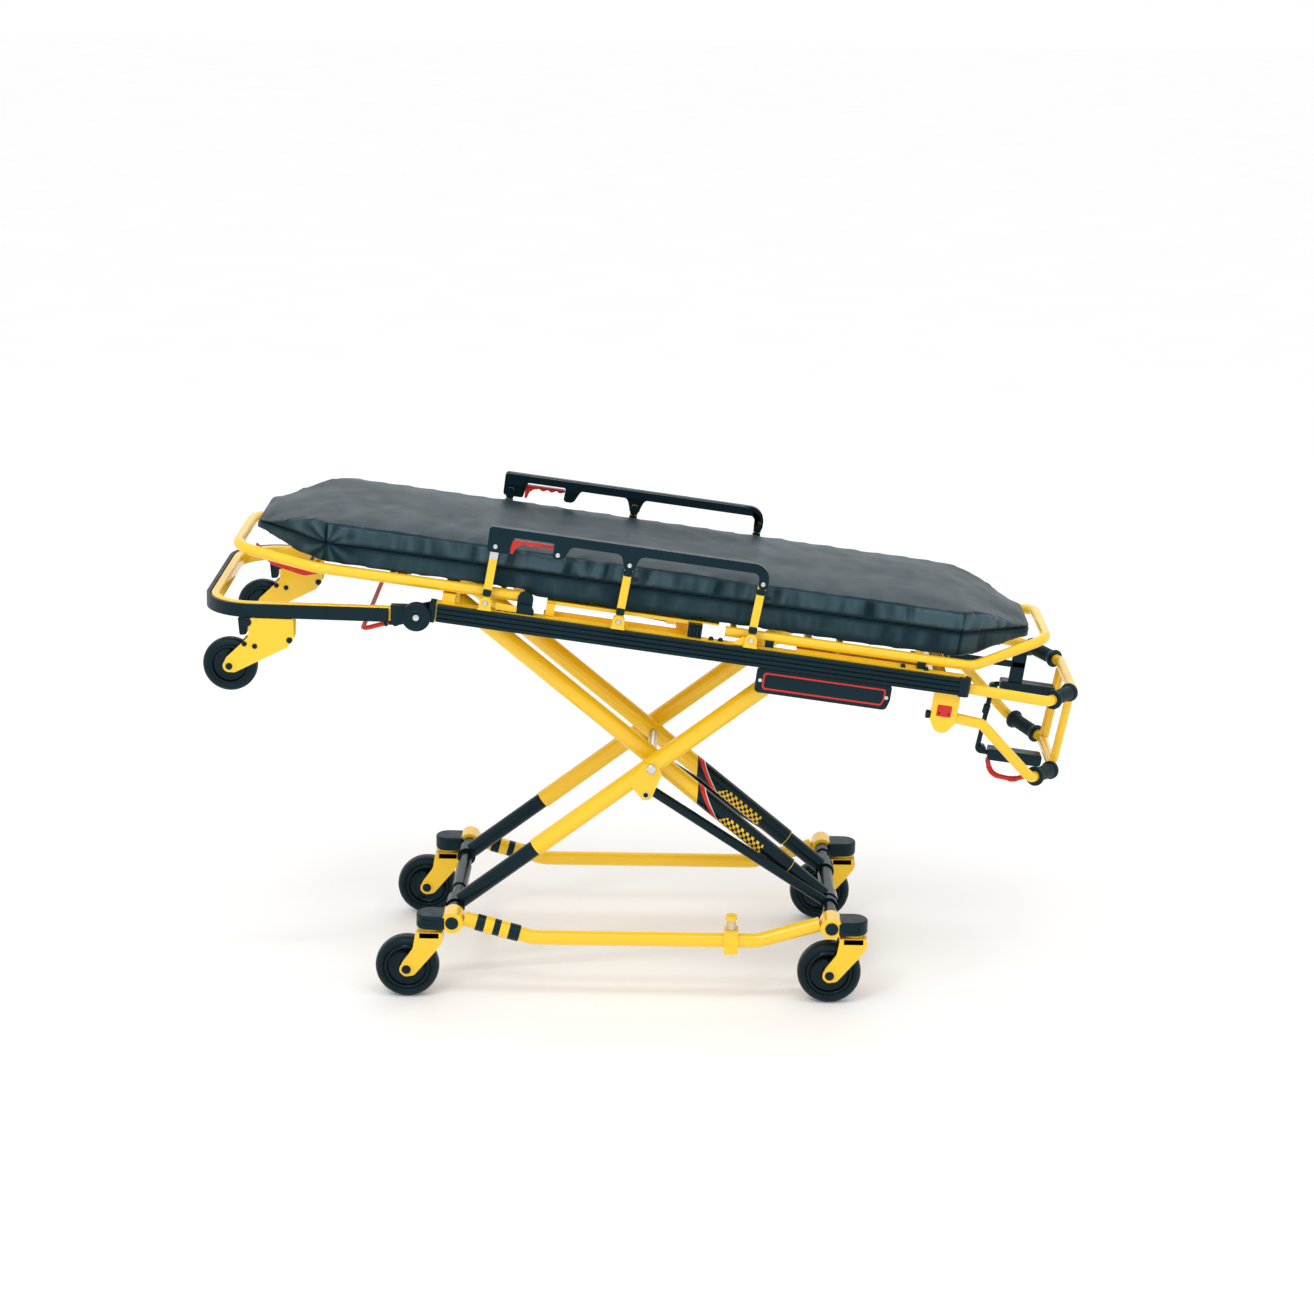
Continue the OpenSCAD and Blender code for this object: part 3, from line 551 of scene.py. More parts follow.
def make_wheel(tag):
    """Tyre with moulded lips, and a turned hub."""
    place = at_joint(f"wheel_{tag}_spin")
    body = f"wheel_{tag}"
    tyre = Shape(place).lathe(TYRE, closed=True, steps=96)
    for way in (-1, 1):
        tyre.lathe([(r, way * h) for r, h in TYRE_LIP], closed=True, steps=96)
    tyre.piece(f"tyre_{tag}", "tyre", body, replaces=(f"ground_tyre_{tag}",))
    hub = Shape(place).lathe(HUB, closed=True, steps=72)
    hub.piece(f"hub_{tag}", "hub_plastic", body, replaces=(f"ground_hub_{tag}",))


FORK = [(-33, 169, 7), (31, 169, 7), (32, 148, 26), (14, 122, 60), (-38, 60, 16), (-60, 56, 14),
        (-75, 70, 14), (-66, 92, 20), (-40, 128, 30)]
TRAIL = 55.5
CROWN_Z, ARM_IN, ARM_T = 168.5, 25, 6
BUMPER_X, BUMPER_R = 502, 33
BUMPER_LOW, BUMPER_HIGH = 176, 210.5
RAIL_Y = 265


def make_castor(tag):
    """Yellow fork with its crown and swivel stem, and the axle with its nuts."""
    swivel = joints[f"castor_{tag}_swivel"]["pos_m"]
    body = f"castor_{tag}"
    place = Matrix.Translation((swivel[0], swivel[1], 0)) @ Matrix.Scale(MM, 4)
    fork = Shape(place)
    for way in (-1, 1):
        fork.prism(rounded(FORK), way * ARM_IN, way * (ARM_IN + ARM_T))
        fork.y_rod(-TRAIL, WHEEL_R, way * (ARM_IN - 1), way * (ARM_IN + ARM_T + 2.5), 33, 1.2)
    crown = rounded([(-33, -31, 9), (31, -31, 9), (31, 31, 9), (-33, 31, 9)])
    fork.prism(crown, CROWN_Z - 14, CROWN_Z, "z")
    web = rounded([(8, -26, 4), (31, -26, 4), (31, 26, 4), (8, 26, 4)])
    fork.prism(web, 146, CROWN_Z - 10, "z")
    fork.rod((0, 0, CROWN_Z - 1), (0, 0, CROWN_Z + 8), 16)
    fork.piece(f"castor_frame_{tag}", "yellow_paint", body, 1.4, 3, replaces=(f"castor_fork_{tag}",))
    nuts = Shape(place)
    for way in (-1, 1):
        face = way * (ARM_IN + ARM_T + 2.4)
        nuts.lathe([(0, face), (11, face), (11, face + way * 1.5), (8, face + way * 2), (8, face + way * 6),
                    (6.5, face + way * 7), (0, face + way * 7)], (-TRAIL, 0, WHEEL_R), Y, 24)
    nuts.y_rod(-TRAIL, WHEEL_R, -ARM_IN - 1, ARM_IN + 1, 11.8)
    nuts.piece(f"axle_nuts_{tag}", "black_paint", body)


def make_bumper(tag, end, side):
    """Rubber bumper over the castor, round at its outer end, with a raised ring on its side."""
    bumper = Shape(ROW)
    cx, cy, back, r = end * BUMPER_X, side * RAIL_Y, end * 464, BUMPER_R
    tip = cx + end * r
    corners = [(back, cy - r, 5), (back, cy + r, 5), (tip, cy + r, r - 0.5), (tip, cy - r, r - 0.5)]
    bumper.prism(rounded(corners, 10), BUMPER_LOW, BUMPER_HIGH, "z")
    bumper.piece(f"bumper_{tag}", "black_rubber", "base", 7, 4,
                 replaces=("corner_bumpers",) if end < 0 and side < 0 else ())
    slot = Shape(ROW)
    face = cy + side * 32.6
    ring = rounded([(cx - 27, 185, 7), (cx + 15, 185, 7), (cx + 15, 202, 7), (cx - 27, 202, 7)], 6)
    hole = [(cx - 23, 188.5, 4.5), (cx + 11, 188.5, 4.5), (cx + 11, 198.5, 4.5), (cx - 23, 198.5, 4.5)]
    inner = rounded(hole, 6)
    out = face + side * 1.6
    rings = [[slot.vert((x, face, z)) for x, z in ring], [slot.vert((x, out, z)) for x, z in ring],
             [slot.vert((x, out, z)) for x, z in inner], [slot.vert((x, face, z)) for x, z in inner]]
    slot.join(rings, closed=True)
    slot.piece(f"bumper_slot_{tag}", "black_rubber", "base", 0.6)


# ---- base ----

RAIL_END_X, CROSS_X, CROSS_Z = 422, 448.5, 195
RAIL_RUN = [(-RAIL_END_X, CROSS_Z), (-258, 150), (274, 150), (RAIL_END_X, CROSS_Z)]


def make_base():
    """Side rails, covers and plugs of the cross tubes, sleeve bands and the fastener post's waist."""
    rails = Shape(ROW)
    for side, _ in SIDES:
        rails.tube([(x, side * RAIL_Y, z) for x, z in RAIL_RUN], 90, 35, Y)
    rails.piece("base_rails", "yellow_paint", "base", replaces=("base_side_rails",))
    covers = Shape(ROW)
    for end, _ in ENDS:
        covers.y_rod(end * CROSS_X, CROSS_Z, -76, 76, 37, 1.5)
        for side, _ in SIDES:
            covers.y_rod(end * CROSS_X, CROSS_Z, side * 195, side * 238, 37, 1.5)
    covers.piece("cross_tube_covers", "black_paint", "base")
    plugs = Shape(ROW)
    for side, _ in SIDES:
        for end, _ in ENDS:
            plugs.y_rod(end * CROSS_X, CROSS_Z, side * 296, side * 301, 31, 2)
            plugs.y_rod(end * CROSS_X, CROSS_Z, side * 300, side * 303, 12, 1)
    plugs.piece("cross_tube_plugs", "black_plastic", "base")
    bands = Shape(ROW)
    start, end = (Vector((x, 0, z)) for x, z in RAIL_RUN[:2])
    way = (end - start).normalized()
    for side, _ in SIDES:
        for at in (0.3, 0.52):
            p = start.lerp(end, at) + Vector((0, side * RAIL_Y, 0))
            bands.lathe([(20.05, 0), (20.3, 0.3), (20.3, 21), (20.05, 21.3)], p, way, 48, closed=True)
    bands.piece("sleeve_bands", "yellow_paint", "base")
    waist = Shape(ROW)
    x, y, _ = Vector(mounts["fastener_cap"]["pos_m"]) / MM
    bottom = 178
    ribs = [(0, bottom)]
    for i in range(6):
        h = bottom + i * 4.3
        ribs += [(10.2, h), (11.4, h + 0.9), (11.4, h + 3.2), (10.2, h + 4.1)]
    waist.lathe(ribs + [(0, 204)], (x, y, 0), Z)
    waist.piece("fastener_waist", "bright_steel", "base")


# ---- legs ----


def band_material():
    """Printed sleeve: black, with a red sweep, a white edge and a patch of checks."""
    m = Material("leg_band", (0.012, 0.018, 0.024), 0.3)
    uv = m.nodes.new("ShaderNodeUVMap").outputs[0]
    split = m.nodes.new("ShaderNodeSeparateXYZ")
    m.links.new(uv, split.inputs[0])

    def maths(op, a, b=0.0):
        n = m.nodes.new("ShaderNodeMath")
        n.operation = op
        for i, value in enumerate((a, b)):
            if isinstance(value, (int, float)):
                n.inputs[i].default_value = value
            else:
                m.links.new(value, n.inputs[i])
        return n.outputs[0]

    along, height = split.outputs[0], split.outputs[1]
    bow = maths("MULTIPLY", maths("POWER", maths("SUBTRACT", 1.0, height), 1.3), 0.022)
    swept = maths("SUBTRACT", along, bow)
    red = maths("MULTIPLY", maths("GREATER_THAN", swept, 0.002), maths("LESS_THAN", swept, 0.019))
    white = maths("MULTIPLY", maths("GREATER_THAN", swept, 0.019), maths("LESS_THAN", swept, 0.0225))
    cells = m.nodes.new("ShaderNodeTexChecker")
    cells.inputs["Scale"].default_value = 1.0
    grid = m.nodes.new("ShaderNodeCombineXYZ")
    m.links.new(maths("MULTIPLY", along, 125), grid.inputs[0])
    m.links.new(maths("MULTIPLY", height, 2.6), grid.inputs[1])
    grid.inputs[2].default_value = 0.5
    m.links.new(grid.outputs[0], cells.inputs["Vector"])
    start = maths("ADD", maths("MULTIPLY", height, 0.03), 0.088)
    zone = maths("MULTIPLY", maths("GREATER_THAN", along, start), maths("LESS_THAN", along, 0.205))
    zone = maths("MULTIPLY", zone, maths("LESS_THAN", height, 0.32))
    check = maths("MULTIPLY", cells.outputs["Fac"], zone)

    def mix(fac, a, b):
        n = m.nodes.new("ShaderNodeMix")
        n.data_type = "RGBA"
        m.links.new(fac, n.inputs["Factor"])
        for socket, value in (("A", a), ("B", b)):
            target = [s for s in n.inputs if s.name == socket and s.type == "RGBA"][0]
            if isinstance(value, tuple):
                target.default_value = (*value, 1)
            else:
                m.links.new(value, target)
        return [s for s in n.outputs if s.type == "RGBA"][0]

    base = m.ramp(m.noise(30), [(0.3, (0.003, 0.006, 0.008)), (0.7, (0.004, 0.009, 0.012))])
    colour = mix(check, mix(white, mix(red, base, (0.65, 0.03, 0.02)), (0.8, 0.8, 0.78)), (0.9, 0.55, 0.03))
    m.links.new(colour, m.shader.inputs["Base Color"])
    worn = m.ramp(m.noise(60, 4), [(0.3, (0.22,) * 3), (0.7, (0.32,) * 3)])
    m.links.new(worn, m.shader.inputs["Roughness"])
    return m.set(**DARK_GLOSS).material


LEG_Y = 100
BAND_R, BAND_SLANT = 22.15, 16
BAND_LOW, BAND_HIGH = 128.0, 416.6


def make_leg_bands():
    """The printed sleeves on the long legs' lower ends, each with a slanting upper edge."""
    printed = band_material()
    foot = Vector(joints["height_fold"]["pos_m"]) / MM
    top = Vector(joints["litter_hinge"]["pos_m"]) / MM
    way = (top - foot).normalized()
    up = way.cross(Y).normalized()
    if up.z < 0:
        up = -up
    steps, rows = 48, 40
    turns = [2 * pi * k / steps for k in range(steps)]
    length = BAND_HIGH - BAND_LOW
    for side, side_name in SIDES:
        at = foot + Vector((0, side * LEG_Y, 0))
        shape = Shape(ROW)
        layer = shape.bm.loops.layers.uv.new("band")
        rings = []
        for i in range(rows + 1):
            reach = i / rows
            ring = []
            for t in turns:
                along = BAND_HIGH - length * reach + BAND_SLANT * sin(t) * (1 - reach)
                ring.append(shape.vert(at + way * along + (Y * cos(t) + up * sin(t)) * BAND_R))
            rings.append(ring)
        for i in range(rows):
            for k in range(steps):
                corners = [(i, k), (i + 1, k), (i + 1, (k + 1) % steps), (i, (k + 1) % steps)]
                face = shape.bm.faces.new([rings[row][col] for row, col in corners])
                for loop, (row, col) in zip(face.loops, corners):
                    loop[layer].uv = (row * length * MM / rows, sin(turns[col]))
        shape.piece(f"leg_band_{side_name}", "yellow_paint", "long_leg_outer", material=printed)


# ---- litter ----

LUG_V = 41
POST_LENGTH, POST_LEAN = 138, 7
TOP_V = LUG_V + math.sqrt(POST_LENGTH**2 - POST_LEAN**2)
POST_US = (-375, -67, 240)
TOP_RAIL = [(-386, 46, 8), (259, 46, 36), (259, -13, 11), (237, -13, 10), (237, 24, 15), (-38, 24, 16),
            (-47, -2, 14), (-47, -13, 10), (-73, -13, 10), (-73, -2, 14), (-82, 24, 16), (-196, 24, 14),
            (-212, -9, 14), (-237, -9, 8), (-235, 27, 5), (-329, 27, 7), (-337, -13, 6), (-386, -13, 9)]
RAIL_FACE = [(-385, 45, 7), (258, 45, 35), (248, 17, 8), (236, 17, 4), (232, 25, 6), (-196, 25, 4),
             (-203, 17, 3), (-234, 17, 3), (-236, 28, 3), (-328, 28, 3), (-331, 17, 3), (-385, 17, 6)]
TRIGGER = [(-333, 20.5, 5), (-236, 20.5, 4), (-236, 15, 3), (-248, 11, 3), (-256, 16, 4), (-268, 10, 4),
           (-278, 15, 4), (-290, 10, 4), (-300, 15, 4), (-312, 12, 4), (-322, 4, 4), (-327, -12, 2),
           (-333, -12, 2)]
GRIP_SCREW_U = -225


def raised(outline):
    """A rail outline given over the posts' upper pins, in litter heights."""
    return [(x, y + TOP_V) for x, y in outline]


def make_siderail(side, name):
    """Moulded top rail with its screws and red trigger, on three posts."""
    body = f"{name}_top_rail"
    rail = Shape(LITTER, side)
    rail.prism(raised(rounded(TOP_RAIL, 7)), 270.5, 284)
    rail.prism(raised(rounded(RAIL_FACE, 6)), 261, 271.5)
    rail.piece(f"{name}_rail_moulding", "black_plastic", body, 3.2, 3, replaces=(body,))
    screws = Shape(LITTER, side)
    pins = [u + POST_LEAN for u in POST_US]
    head = [(0, 283), (5.2, 283), (5.2, 284.6), (4.2, 285.6), (2.6, 285.8), (1.8, 285), (0, 285)]
    for u in (*pins, GRIP_SCREW_U):
        screws.lathe(head, (u, 0, TOP_V), Y, 24)
    for u in pins:
        screws.y_rod(u, TOP_V, 261.8, 270.6, 7.9, 0.4)
    screws.piece(f"{name}_rail_screws", "bright_steel", body)
    grip = Shape(LITTER, side)
    grip.prism(raised(rounded(TRIGGER, 5)), 268, 281.5)
    grip.piece(f"{name}_trigger_bar", "red_plastic", f"{name}_trigger", 1.6, 3, replaces=(f"{name}_trigger",))
    for label, u in zip(("head", "middle", "foot"), POST_US):
        make_post(side, name, label, u)


def make_post(side, name, label, u):
    """Flat yellow post with a black foot collar and a collar under the top rail."""
    body = f"{name}_post_{label}"
    foot, top = Vector((u, 0, LUG_V)), Vector((u + POST_LEAN, 0, TOP_V))
    way = (top - foot).normalized()
    across = Vector((way.z, 0, -way.x))

    def strip(lo, hi, w, r):
        corners = [foot + way * h + across * c for h, c in ((lo, -w), (lo, w), (hi, w), (hi, -w))]
        return rounded([(p.x, p.z, r) for p in corners])

    post = Shape(LITTER, side)
    post.prism(strip(-10, 148, 9.5, 9), 262.6, 268.4)
    post.piece(f"{body}_bar", "yellow_paint", body, 1.2, 3, replaces=(body,))
    collars = Shape(LITTER, side)
    collars.prism(strip(15, 31, 9.6, 3), 261.2, 270.2)
    if label != "head":
        collars.prism(strip(108, 122, 9.6, 3), 261.6, 269.2)
        at = foot + way * 104
        tongue = [(at.x + x, at.z + z, 3) for x, z in ((9, 8), (27, 2), (27, -5), (9, -8))]
        collars.prism(rounded(tongue), 263, 268)
    cap_from = 120 if label == "head" else 122
    collars.prism(strip(cap_from, 148.4, 9.9, 9.5), 261.6, 262.7)
    collars.piece(f"{body}_collar", "black_plastic", body, 0.8)
    if label == "head":
        band = Shape(LITTER, side)
        band.prism(strip(104, 122, 9.8, 3), 262, 269)
        band.piece(f"{body}_band", "bright_steel", body, 0.8)


def make_rail_details():
    """Bolts of the siderail lugs, and the small fins, nubs and ribs along the litter rails."""
    bolts = Shape(LITTER)
    for side, _ in SIDES:
        head = [(r, side * h) for r, h in ((0, 274.5), (7, 274.5), (7, 277), (5, 279.5), (0, 280.3))]
        for u in POST_US:
            bolts.lathe(head, (u, 0, LUG_V), Y, 24)
    bolts.piece("lug_bolts", "bright_steel", "litter")
    fins = Shape(LITTER)
    for side, _ in SIDES:
        fin = rounded([(196, 25, 2), (228, 25, 2), (228, 50, 4)])
        fins.prism(fin, side * 262, side * 268)
        bracket = rounded([(-352, 25, 3), (-296, 25, 3), (-296, 33, 2), (-304, 39, 3), (-352, 42, 4)])
        fins.prism(bracket, side * 257, side * 261)
    fins.piece("rail_fins", "yellow_paint", "litter", 0.8)
    nubs = Shape(LITTER)
    for side, _ in SIDES:
        for u in (-342, -326, -310, 150, 172, 598, 652):
            nubs.lathe([(6, 22), (6, 26), (4, 30), (0, 31)], (u, side * (255 if u < 0 else 250), 0), Z, 20)
    nubs.piece("rail_nubs", "black_rubber", "litter")
    ribs = Shape(LITTER)
    for side, _ in SIDES:
        for first in (-298, 100):
            for k in range(4):
                u = first + 8 * k
                rib = [(u - 2, 24, 1), (u + 2, 24, 1), (u + 2, 50, 1.5), (u - 2, 50, 1.5)]
                ribs.prism(rounded(rib, 3), side * 249, side * 257.5)
        block = [(-302, 24, 2), (-262, 24, 2), (-262, 34, 3), (-270, 46, 5), (-296, 46, 5), (-302, 38, 3)]
        ribs.prism(rounded(block), side * 258, side * 262)
    ribs.piece("bracket_ribs", "black_plastic", "litter", 0.5)


# ---- backrest ----

BACK_Y = 235
BACK_RUN = both_sides([(-300, -BACK_Y, BACK_V), (-775, -BACK_Y, BACK_V), (-970, -150, BACK_V)])


def make_backrest():
    """Bent tube with hinge eyes, cross bars and the strut's lever, and two red handles."""
    tube = Shape(LITTER)
    tube.tube(BACK_RUN, 80, 26)
    eye = [(6.05, 226), (12, 226), (13, 227), (13, 247.5), (12, 248.5), (6.05, 248.5)]
    for side, _ in SIDES:
        tube.lathe([(r, side * h) for r, h in eye], (HINGE_U, 0, BACK_V), Y, 40, closed=True)
        tube.rod((-345, side * BACK_Y, BACK_V), (-296, side * BACK_Y, BACK_V), 20)
        lever = [(-350, 52, 4), (-330, 52, 4), (-295, 12, 6), (-299, 0, 4), (-313, 0, 4)]
        tube.prism(rounded(lever), side * 12, side * 16)
    for u in (-790, -600, -340):
        tube.rod((u, -224, 53), (u, 224, 53), 14)
    tube.piece("backrest_tube", "yellow_paint", "backrest", replaces=("backrest_frame",))
    handles = Shape(LITTER)
    for side, _ in SIDES:
        run = [(-930, side * 90, 48), (-880, side * 150, 33), (-800, side * 205, 34), (-772, side * 218, 46)]
        handles.sweep(bent(run, 40), bar(5, 17, 2))
    handles.piece("backrest_handles", "red_plastic", "backrest")


# ---- head section ----

HEAD_LENGTH, HEAD_Y, HEAD_BEND = 478, 256, 95
FACING_OUT = 16
FACING = mirrored([(4.5, -15.5), (-3.6, -15.5), (-4.6, -14), (-4.6, -7), (-3.2, -5.6), (-3.2, -5),
                   (-4.6, -3.8)])
HEAD_PIVOT = (-527, 0, -13)
PIVOT_DISC = [(0, 285.8), (8, 285.8), (9, 287), (15, 287), (17, 285.6), (25, 285.6), (27, 287.2),
              (30.5, 287.2), (33.2, 284.5), (33.2, 268.4), (0, 268.4)]
PIVOT_CAP = [(0, 285), (9, 285), (9, 288.2), (6, 289.5), (0, 290)]


def make_head_section():
    """U-shaped rail with a rubber facing, its pivots on the litter, the load wheels and the bail."""
    rail = Shape(HEAD)
    run = both_sides([(-24, -HEAD_Y, 0), (-HEAD_LENGTH, -HEAD_Y, 0)])
    rail.sweep(bent(run, HEAD_BEND, 18), bar(20, 34, 6))
    rail.piece("head_rail", "yellow_paint", "head_section", replaces=("head_section_frame",))
    facing = Shape(HEAD)
    facing_y = HEAD_Y + FACING_OUT
    run = both_sides([(-64, -facing_y, 0), (-HEAD_LENGTH - FACING_OUT, -facing_y, 0)])
    facing.sweep(bent(run, HEAD_BEND + FACING_OUT, 18), FACING)
    facing.piece("head_rail_rubber", "black_rubber", "head_section",
                 replaces=("head_section_rubber",), angle=25)
    discs, caps = Shape(LITTER), Shape(LITTER)
    for side, _ in SIDES:
        discs.lathe([(r, side * h) for r, h in PIVOT_DISC], HEAD_PIVOT, Y, 60)
        caps.lathe([(r, side * h) for r, h in PIVOT_CAP], HEAD_PIVOT, Y, 32)
    discs.piece("pivot_discs", "black_rubber", "litter")
    caps.piece("pivot_caps", "bright_steel", "litter")
    make_load_wheels()
    make_bail()


LOAD_AXLE = (-430.5, -132.7)
LOAD_PLATE = [(-384, -17, 5), (-282, -17, 6), (-282, -66, 12), (-296, -84, 14), (-424, -151, 17),
              (-447, -134, 17), (-437, -112, 14), (-386, -62, 12)]
LOAD_BOLTS = [(-388, -26, 10), (-291, -66, 7), (-395, -78, 6), (-371, -83, 6)]
LOAD_R, LOAD_HALF_W = 63.5, 16
LOAD_TYRE = [(r * LOAD_R / WHEEL_R, h * LOAD_HALF_W / TYRE_HALF_W) for r, h in TYRE]
LOAD_HUB = mirrored([(5.1, -19), (12, -19), (14, -16), (16, -9), (34, -7.5), (38, -9), (41, -14),
                     (46.8, -14)])


def make_load_wheels():
    """Plates on each side of the head section, with their bolts, rubber stops and wheels."""
    plates, bolts, blocks = Shape(HEAD), Shape(HEAD), Shape(HEAD)
    for side, _ in SIDES:
        for y0 in (HEAD_Y - 24, HEAD_Y + 20):
            plates.prism(rounded(LOAD_PLATE), side * y0, side * (y0 + 4))
        plates.box((-372, side * 236, -21), (-286, side * 276, -17))
        plates.y_rod(*LOAD_AXLE, side * 276, side * 281.5, 30, 1)
        for u, v, r in LOAD_BOLTS:
            for face, way in ((279.5, side), (232.5, -side)):
                h = side * face
                bolts.lathe([(0, h), (r, h), (r, h + way * 2.5), (r - 2, h + way * 4), (0, h + way * 4.5)],
                            (u, 0, v), Y, 28)
        bolts.y_rod(*LOAD_AXLE, side * 232, side * 280, 9.8)
        nut = [(0, side * 281), (8, side * 281), (8, side * 284), (6, side * 285.4), (0, side * 285.6)]
        bolts.lathe(nut, (LOAD_AXLE[0], 0, LOAD_AXLE[1]), Y, 24)
        stop = rounded([(-412, -19, 5), (-390, -17, 3), (-392, -60, 4), (-408, -62, 4)])
        blocks.prism(stop, side * 237, side * 266)
    plates.piece("load_wheel_plates", "yellow_paint", "head_section", 1.2, 3,
                 replaces=("load_wheel_brackets",))
    bolts.piece("load_wheel_bolts", "black_paint", "head_section")
    blocks.piece("load_wheel_stops", "black_rubber", "head_section", 1.2)
    for side, name in SIDES:
        place = at_joint(f"load_wheel_{name}_spin")
        body = f"load_wheel_{name}"
        tyre = Shape(place).lathe(LOAD_TYRE, closed=True, steps=96)
        tyre.piece(f"load_tyre_{name}", "tyre", body, replaces=(body,))
        hub = Shape(place).lathe(LOAD_HUB, closed=True, steps=72)
        hub.piece(f"load_hub_{name}", "hub_plastic", body)


BAIL_ARM, BAIL_BAR = Vector((-575, -226, -44)), Vector((-650, -226, -76))


def make_bail():
    """Red squeeze bar under the head pivot, with black clamps on its arms."""
    bail, clamps = Shape(LITTER), Shape(LITTER)
    bail.tube(both_sides([BAIL_ARM, BAIL_BAR]), 20, 11)
    bail.piece("release_bail", "red_plastic", "head_release_bail",
               replaces=("head_release_bail",))
    for side, _ in SIDES:
        for share in (0.12, 0.26):
            p = BAIL_ARM.lerp(BAIL_BAR, share)
            p.y *= -side
            clamps.rod(p, p + Vector((-7, 0, -3)), 15, 1)
        clamps.y_rod(BAIL_ARM.x, BAIL_ARM.z, side * 221.5, side * 231, 18, 1)
    clamps.piece("bail_clamps", "black_paint", "head_release_bail")


# ---- foot end ----

FOOT_RUN = both_sides([(180, -235, 44), (760, -235, 44), (935, -130, 106)])
UPPER_LIFT = both_sides([(744, -245, -8), (946, -240, -14), (1020, -120, -14)])
LOWER_LIFT = both_sides([(742, -240, -85), (804, -240, -90), (939, -240, -204), (1010, -120, -212)])
LIFT_BLOCK = [(681, -23, 3), (742, -23, 3), (742, -94, 26), (722, -122, 20), (697, -122, 20), (681, -94, 14)]
LIFT_WEB = [(1017, -34, 3), (1025, -34, 3), (1017, -194, 3), (1008, -194, 3)]
BLOCK_LABEL = [(693, -54, 3), (727, -54, 3), (727, -82, 3), (693, -82, 3)]


def make_foot_frame():
    """Bent tube under the seat and feet, with its cross bars."""
    tube = Shape(LITTER)
    tube.tube(FOOT_RUN, 60, 24)
    for u in (200, 450, 700):
        tube.rod((u, -224, 44), (u, 224, 44), 16)
    tube.piece("foot_tube", "yellow_paint", "litter", replaces=("foot_frame",))


def make_lift_bars():
    """Upper and lower lift bars with their uprights, blocks, labels and rubber grips."""
    bars = Shape(LITTER)
    for run in (UPPER_LIFT, LOWER_LIFT):
        bars.tube(run, 26, 25)
    for side, _ in SIDES:
        top = Vector((1020, side * 98, -14))
        low = Vector((1010, side * 98, -212))
        bars.rod(top.lerp(low, 0.066), top.lerp(low, 0.934), 20)
    bars.piece("lift_bars", "yellow_paint", "litter", replaces=("foot_lift_bars",))
    flats, label, knobs = Shape(LITTER), Shape(LITTER), Shape(LITTER)
    for side, _ in SIDES:
        flats.prism(rounded(LIFT_BLOCK), side * 227, side * 253)
        flats.prism(rounded(LIFT_WEB, 3), side * 58, side * 63)
        label.prism(rounded(BLOCK_LABEL), side * 252.8, side * 253.6)
        knobs.rod((681, side * 240, -84), (670, side * 240, -84), 20, 2)
        for u in (699, 721):
            knobs.y_rod(u, -74, side * 253, side * 254.2, 5, 0.4)
    flats.piece("lift_bar_blocks", "yellow_paint", "litter", 2.2, 3)
    label.piece("block_label", "red_plastic", "litter")
    knobs.piece("block_knobs", "black_rubber", "litter")
    grips = Shape(LITTER)
    for run, i, j in ((UPPER_LIFT, 1, 2), (UPPER_LIFT, 4, 3), (LOWER_LIFT, 2, 3), (LOWER_LIFT, 5, 4)):
        ribbed_grip(grips, Vector(run[i]), Vector(run[j]))
    grips.piece("ribbed_grips", "black_rubber", "litter", replaces=("lift_bar_grips",))


def ribbed_grip(shape, a, b):
    """Rubber sleeve from a flange near a to a collar near b, with rounded ribs between them."""
    way, length = (b - a).normalized(), (b - a).length
    lo, hi = 0.16 * length, 0.88 * length
    profile = [(12.6, lo), (21, lo), (23, lo + 2), (23, lo + 6), (20, lo + 9), (17, lo + 12)]
    ribs = int((hi - lo - 30) / 6)
    for k in range(ribs):
        h = lo + 14 + 6 * k
        profile += [(15.4, h), (16.9, h + 1.2), (16.9, h + 3.4), (15.4, h + 4.6)]
    profile += [(17, hi - 14), (21, hi - 10), (22, hi - 7), (22, hi - 3), (20, hi), (12.6, hi)]
    shape.lathe(profile, a, way, 48, closed=True)


LOWER_LEVER = [(870, 0, -250), (884, 0, -287), (940, 0, -292), (975, 0, -277)]
UPPER_LEVER = [(870, -92, 3), (986, -92, 4), (986, -84, 3), (878, -84, 2), (878, -74, 2), (870, -74, 2)]


def make_releases():
    """The two release housings, the rod between them and their red levers."""
    housings = Shape(LITTER)
    for top, end in ((-44, 998), (-218, 997)):
        body = [(866, top - 28, 7), (end, top - 28, 8), (end, top, 5), (866, top, 5)]
        housings.prism(rounded(body), -19, 19)
    housings.prism(rounded([(882, -44, 2), (916, -44, 2), (916, 42, 6), (882, 42, 6)]), -16, -10)
    housings.box((705, -16, -8), (916, -10, 8))
    housings.piece("release_boxes", "black_plastic", "litter", 2.0, 3,
                   replaces=("release_housings",))
    rod = Shape(LITTER)
    rod.tube([(864, 0, -58), (850, 0, -58), (840, 0, -232), (868, 0, -232)], 11, 12, Y)
    for v in (-66, -224):
        rod.rod((851, -10, v), (851, 10, v), 20, 1.5)
    rod.rod((846, 0, -112), (843.6, 0, -136), 17, 2)
    rod.piece("release_rod", "black_paint", "litter")
    lever = Shape(LITTER)
    lever.prism(rounded(UPPER_LEVER), -12, 12)
    lever.y_rod(874, -82, -14.8, 14.8, 6)
    lever.piece("upper_lever", "red_plastic", "upper_release_lever", 1.5, 3,
                replaces=("upper_release_lever",))
    low = Shape(LITTER)
    path = bent(LOWER_LEVER, 34)
    low.sweep(path, circle(6), Y)
    for i in range(2, len(path) - 1, 2):
        d = (path[i + 1] - path[i - 1]).normalized()
        low.rod(path[i] - d * 1.6, path[i] + d * 1.6, 14.5, 1)
    low.y_rod(870, -250, -8.8, 8.8, 7)
    low.piece("lower_lever", "red_plastic", "lower_release_lever",
              replaces=("lower_release_lever",))


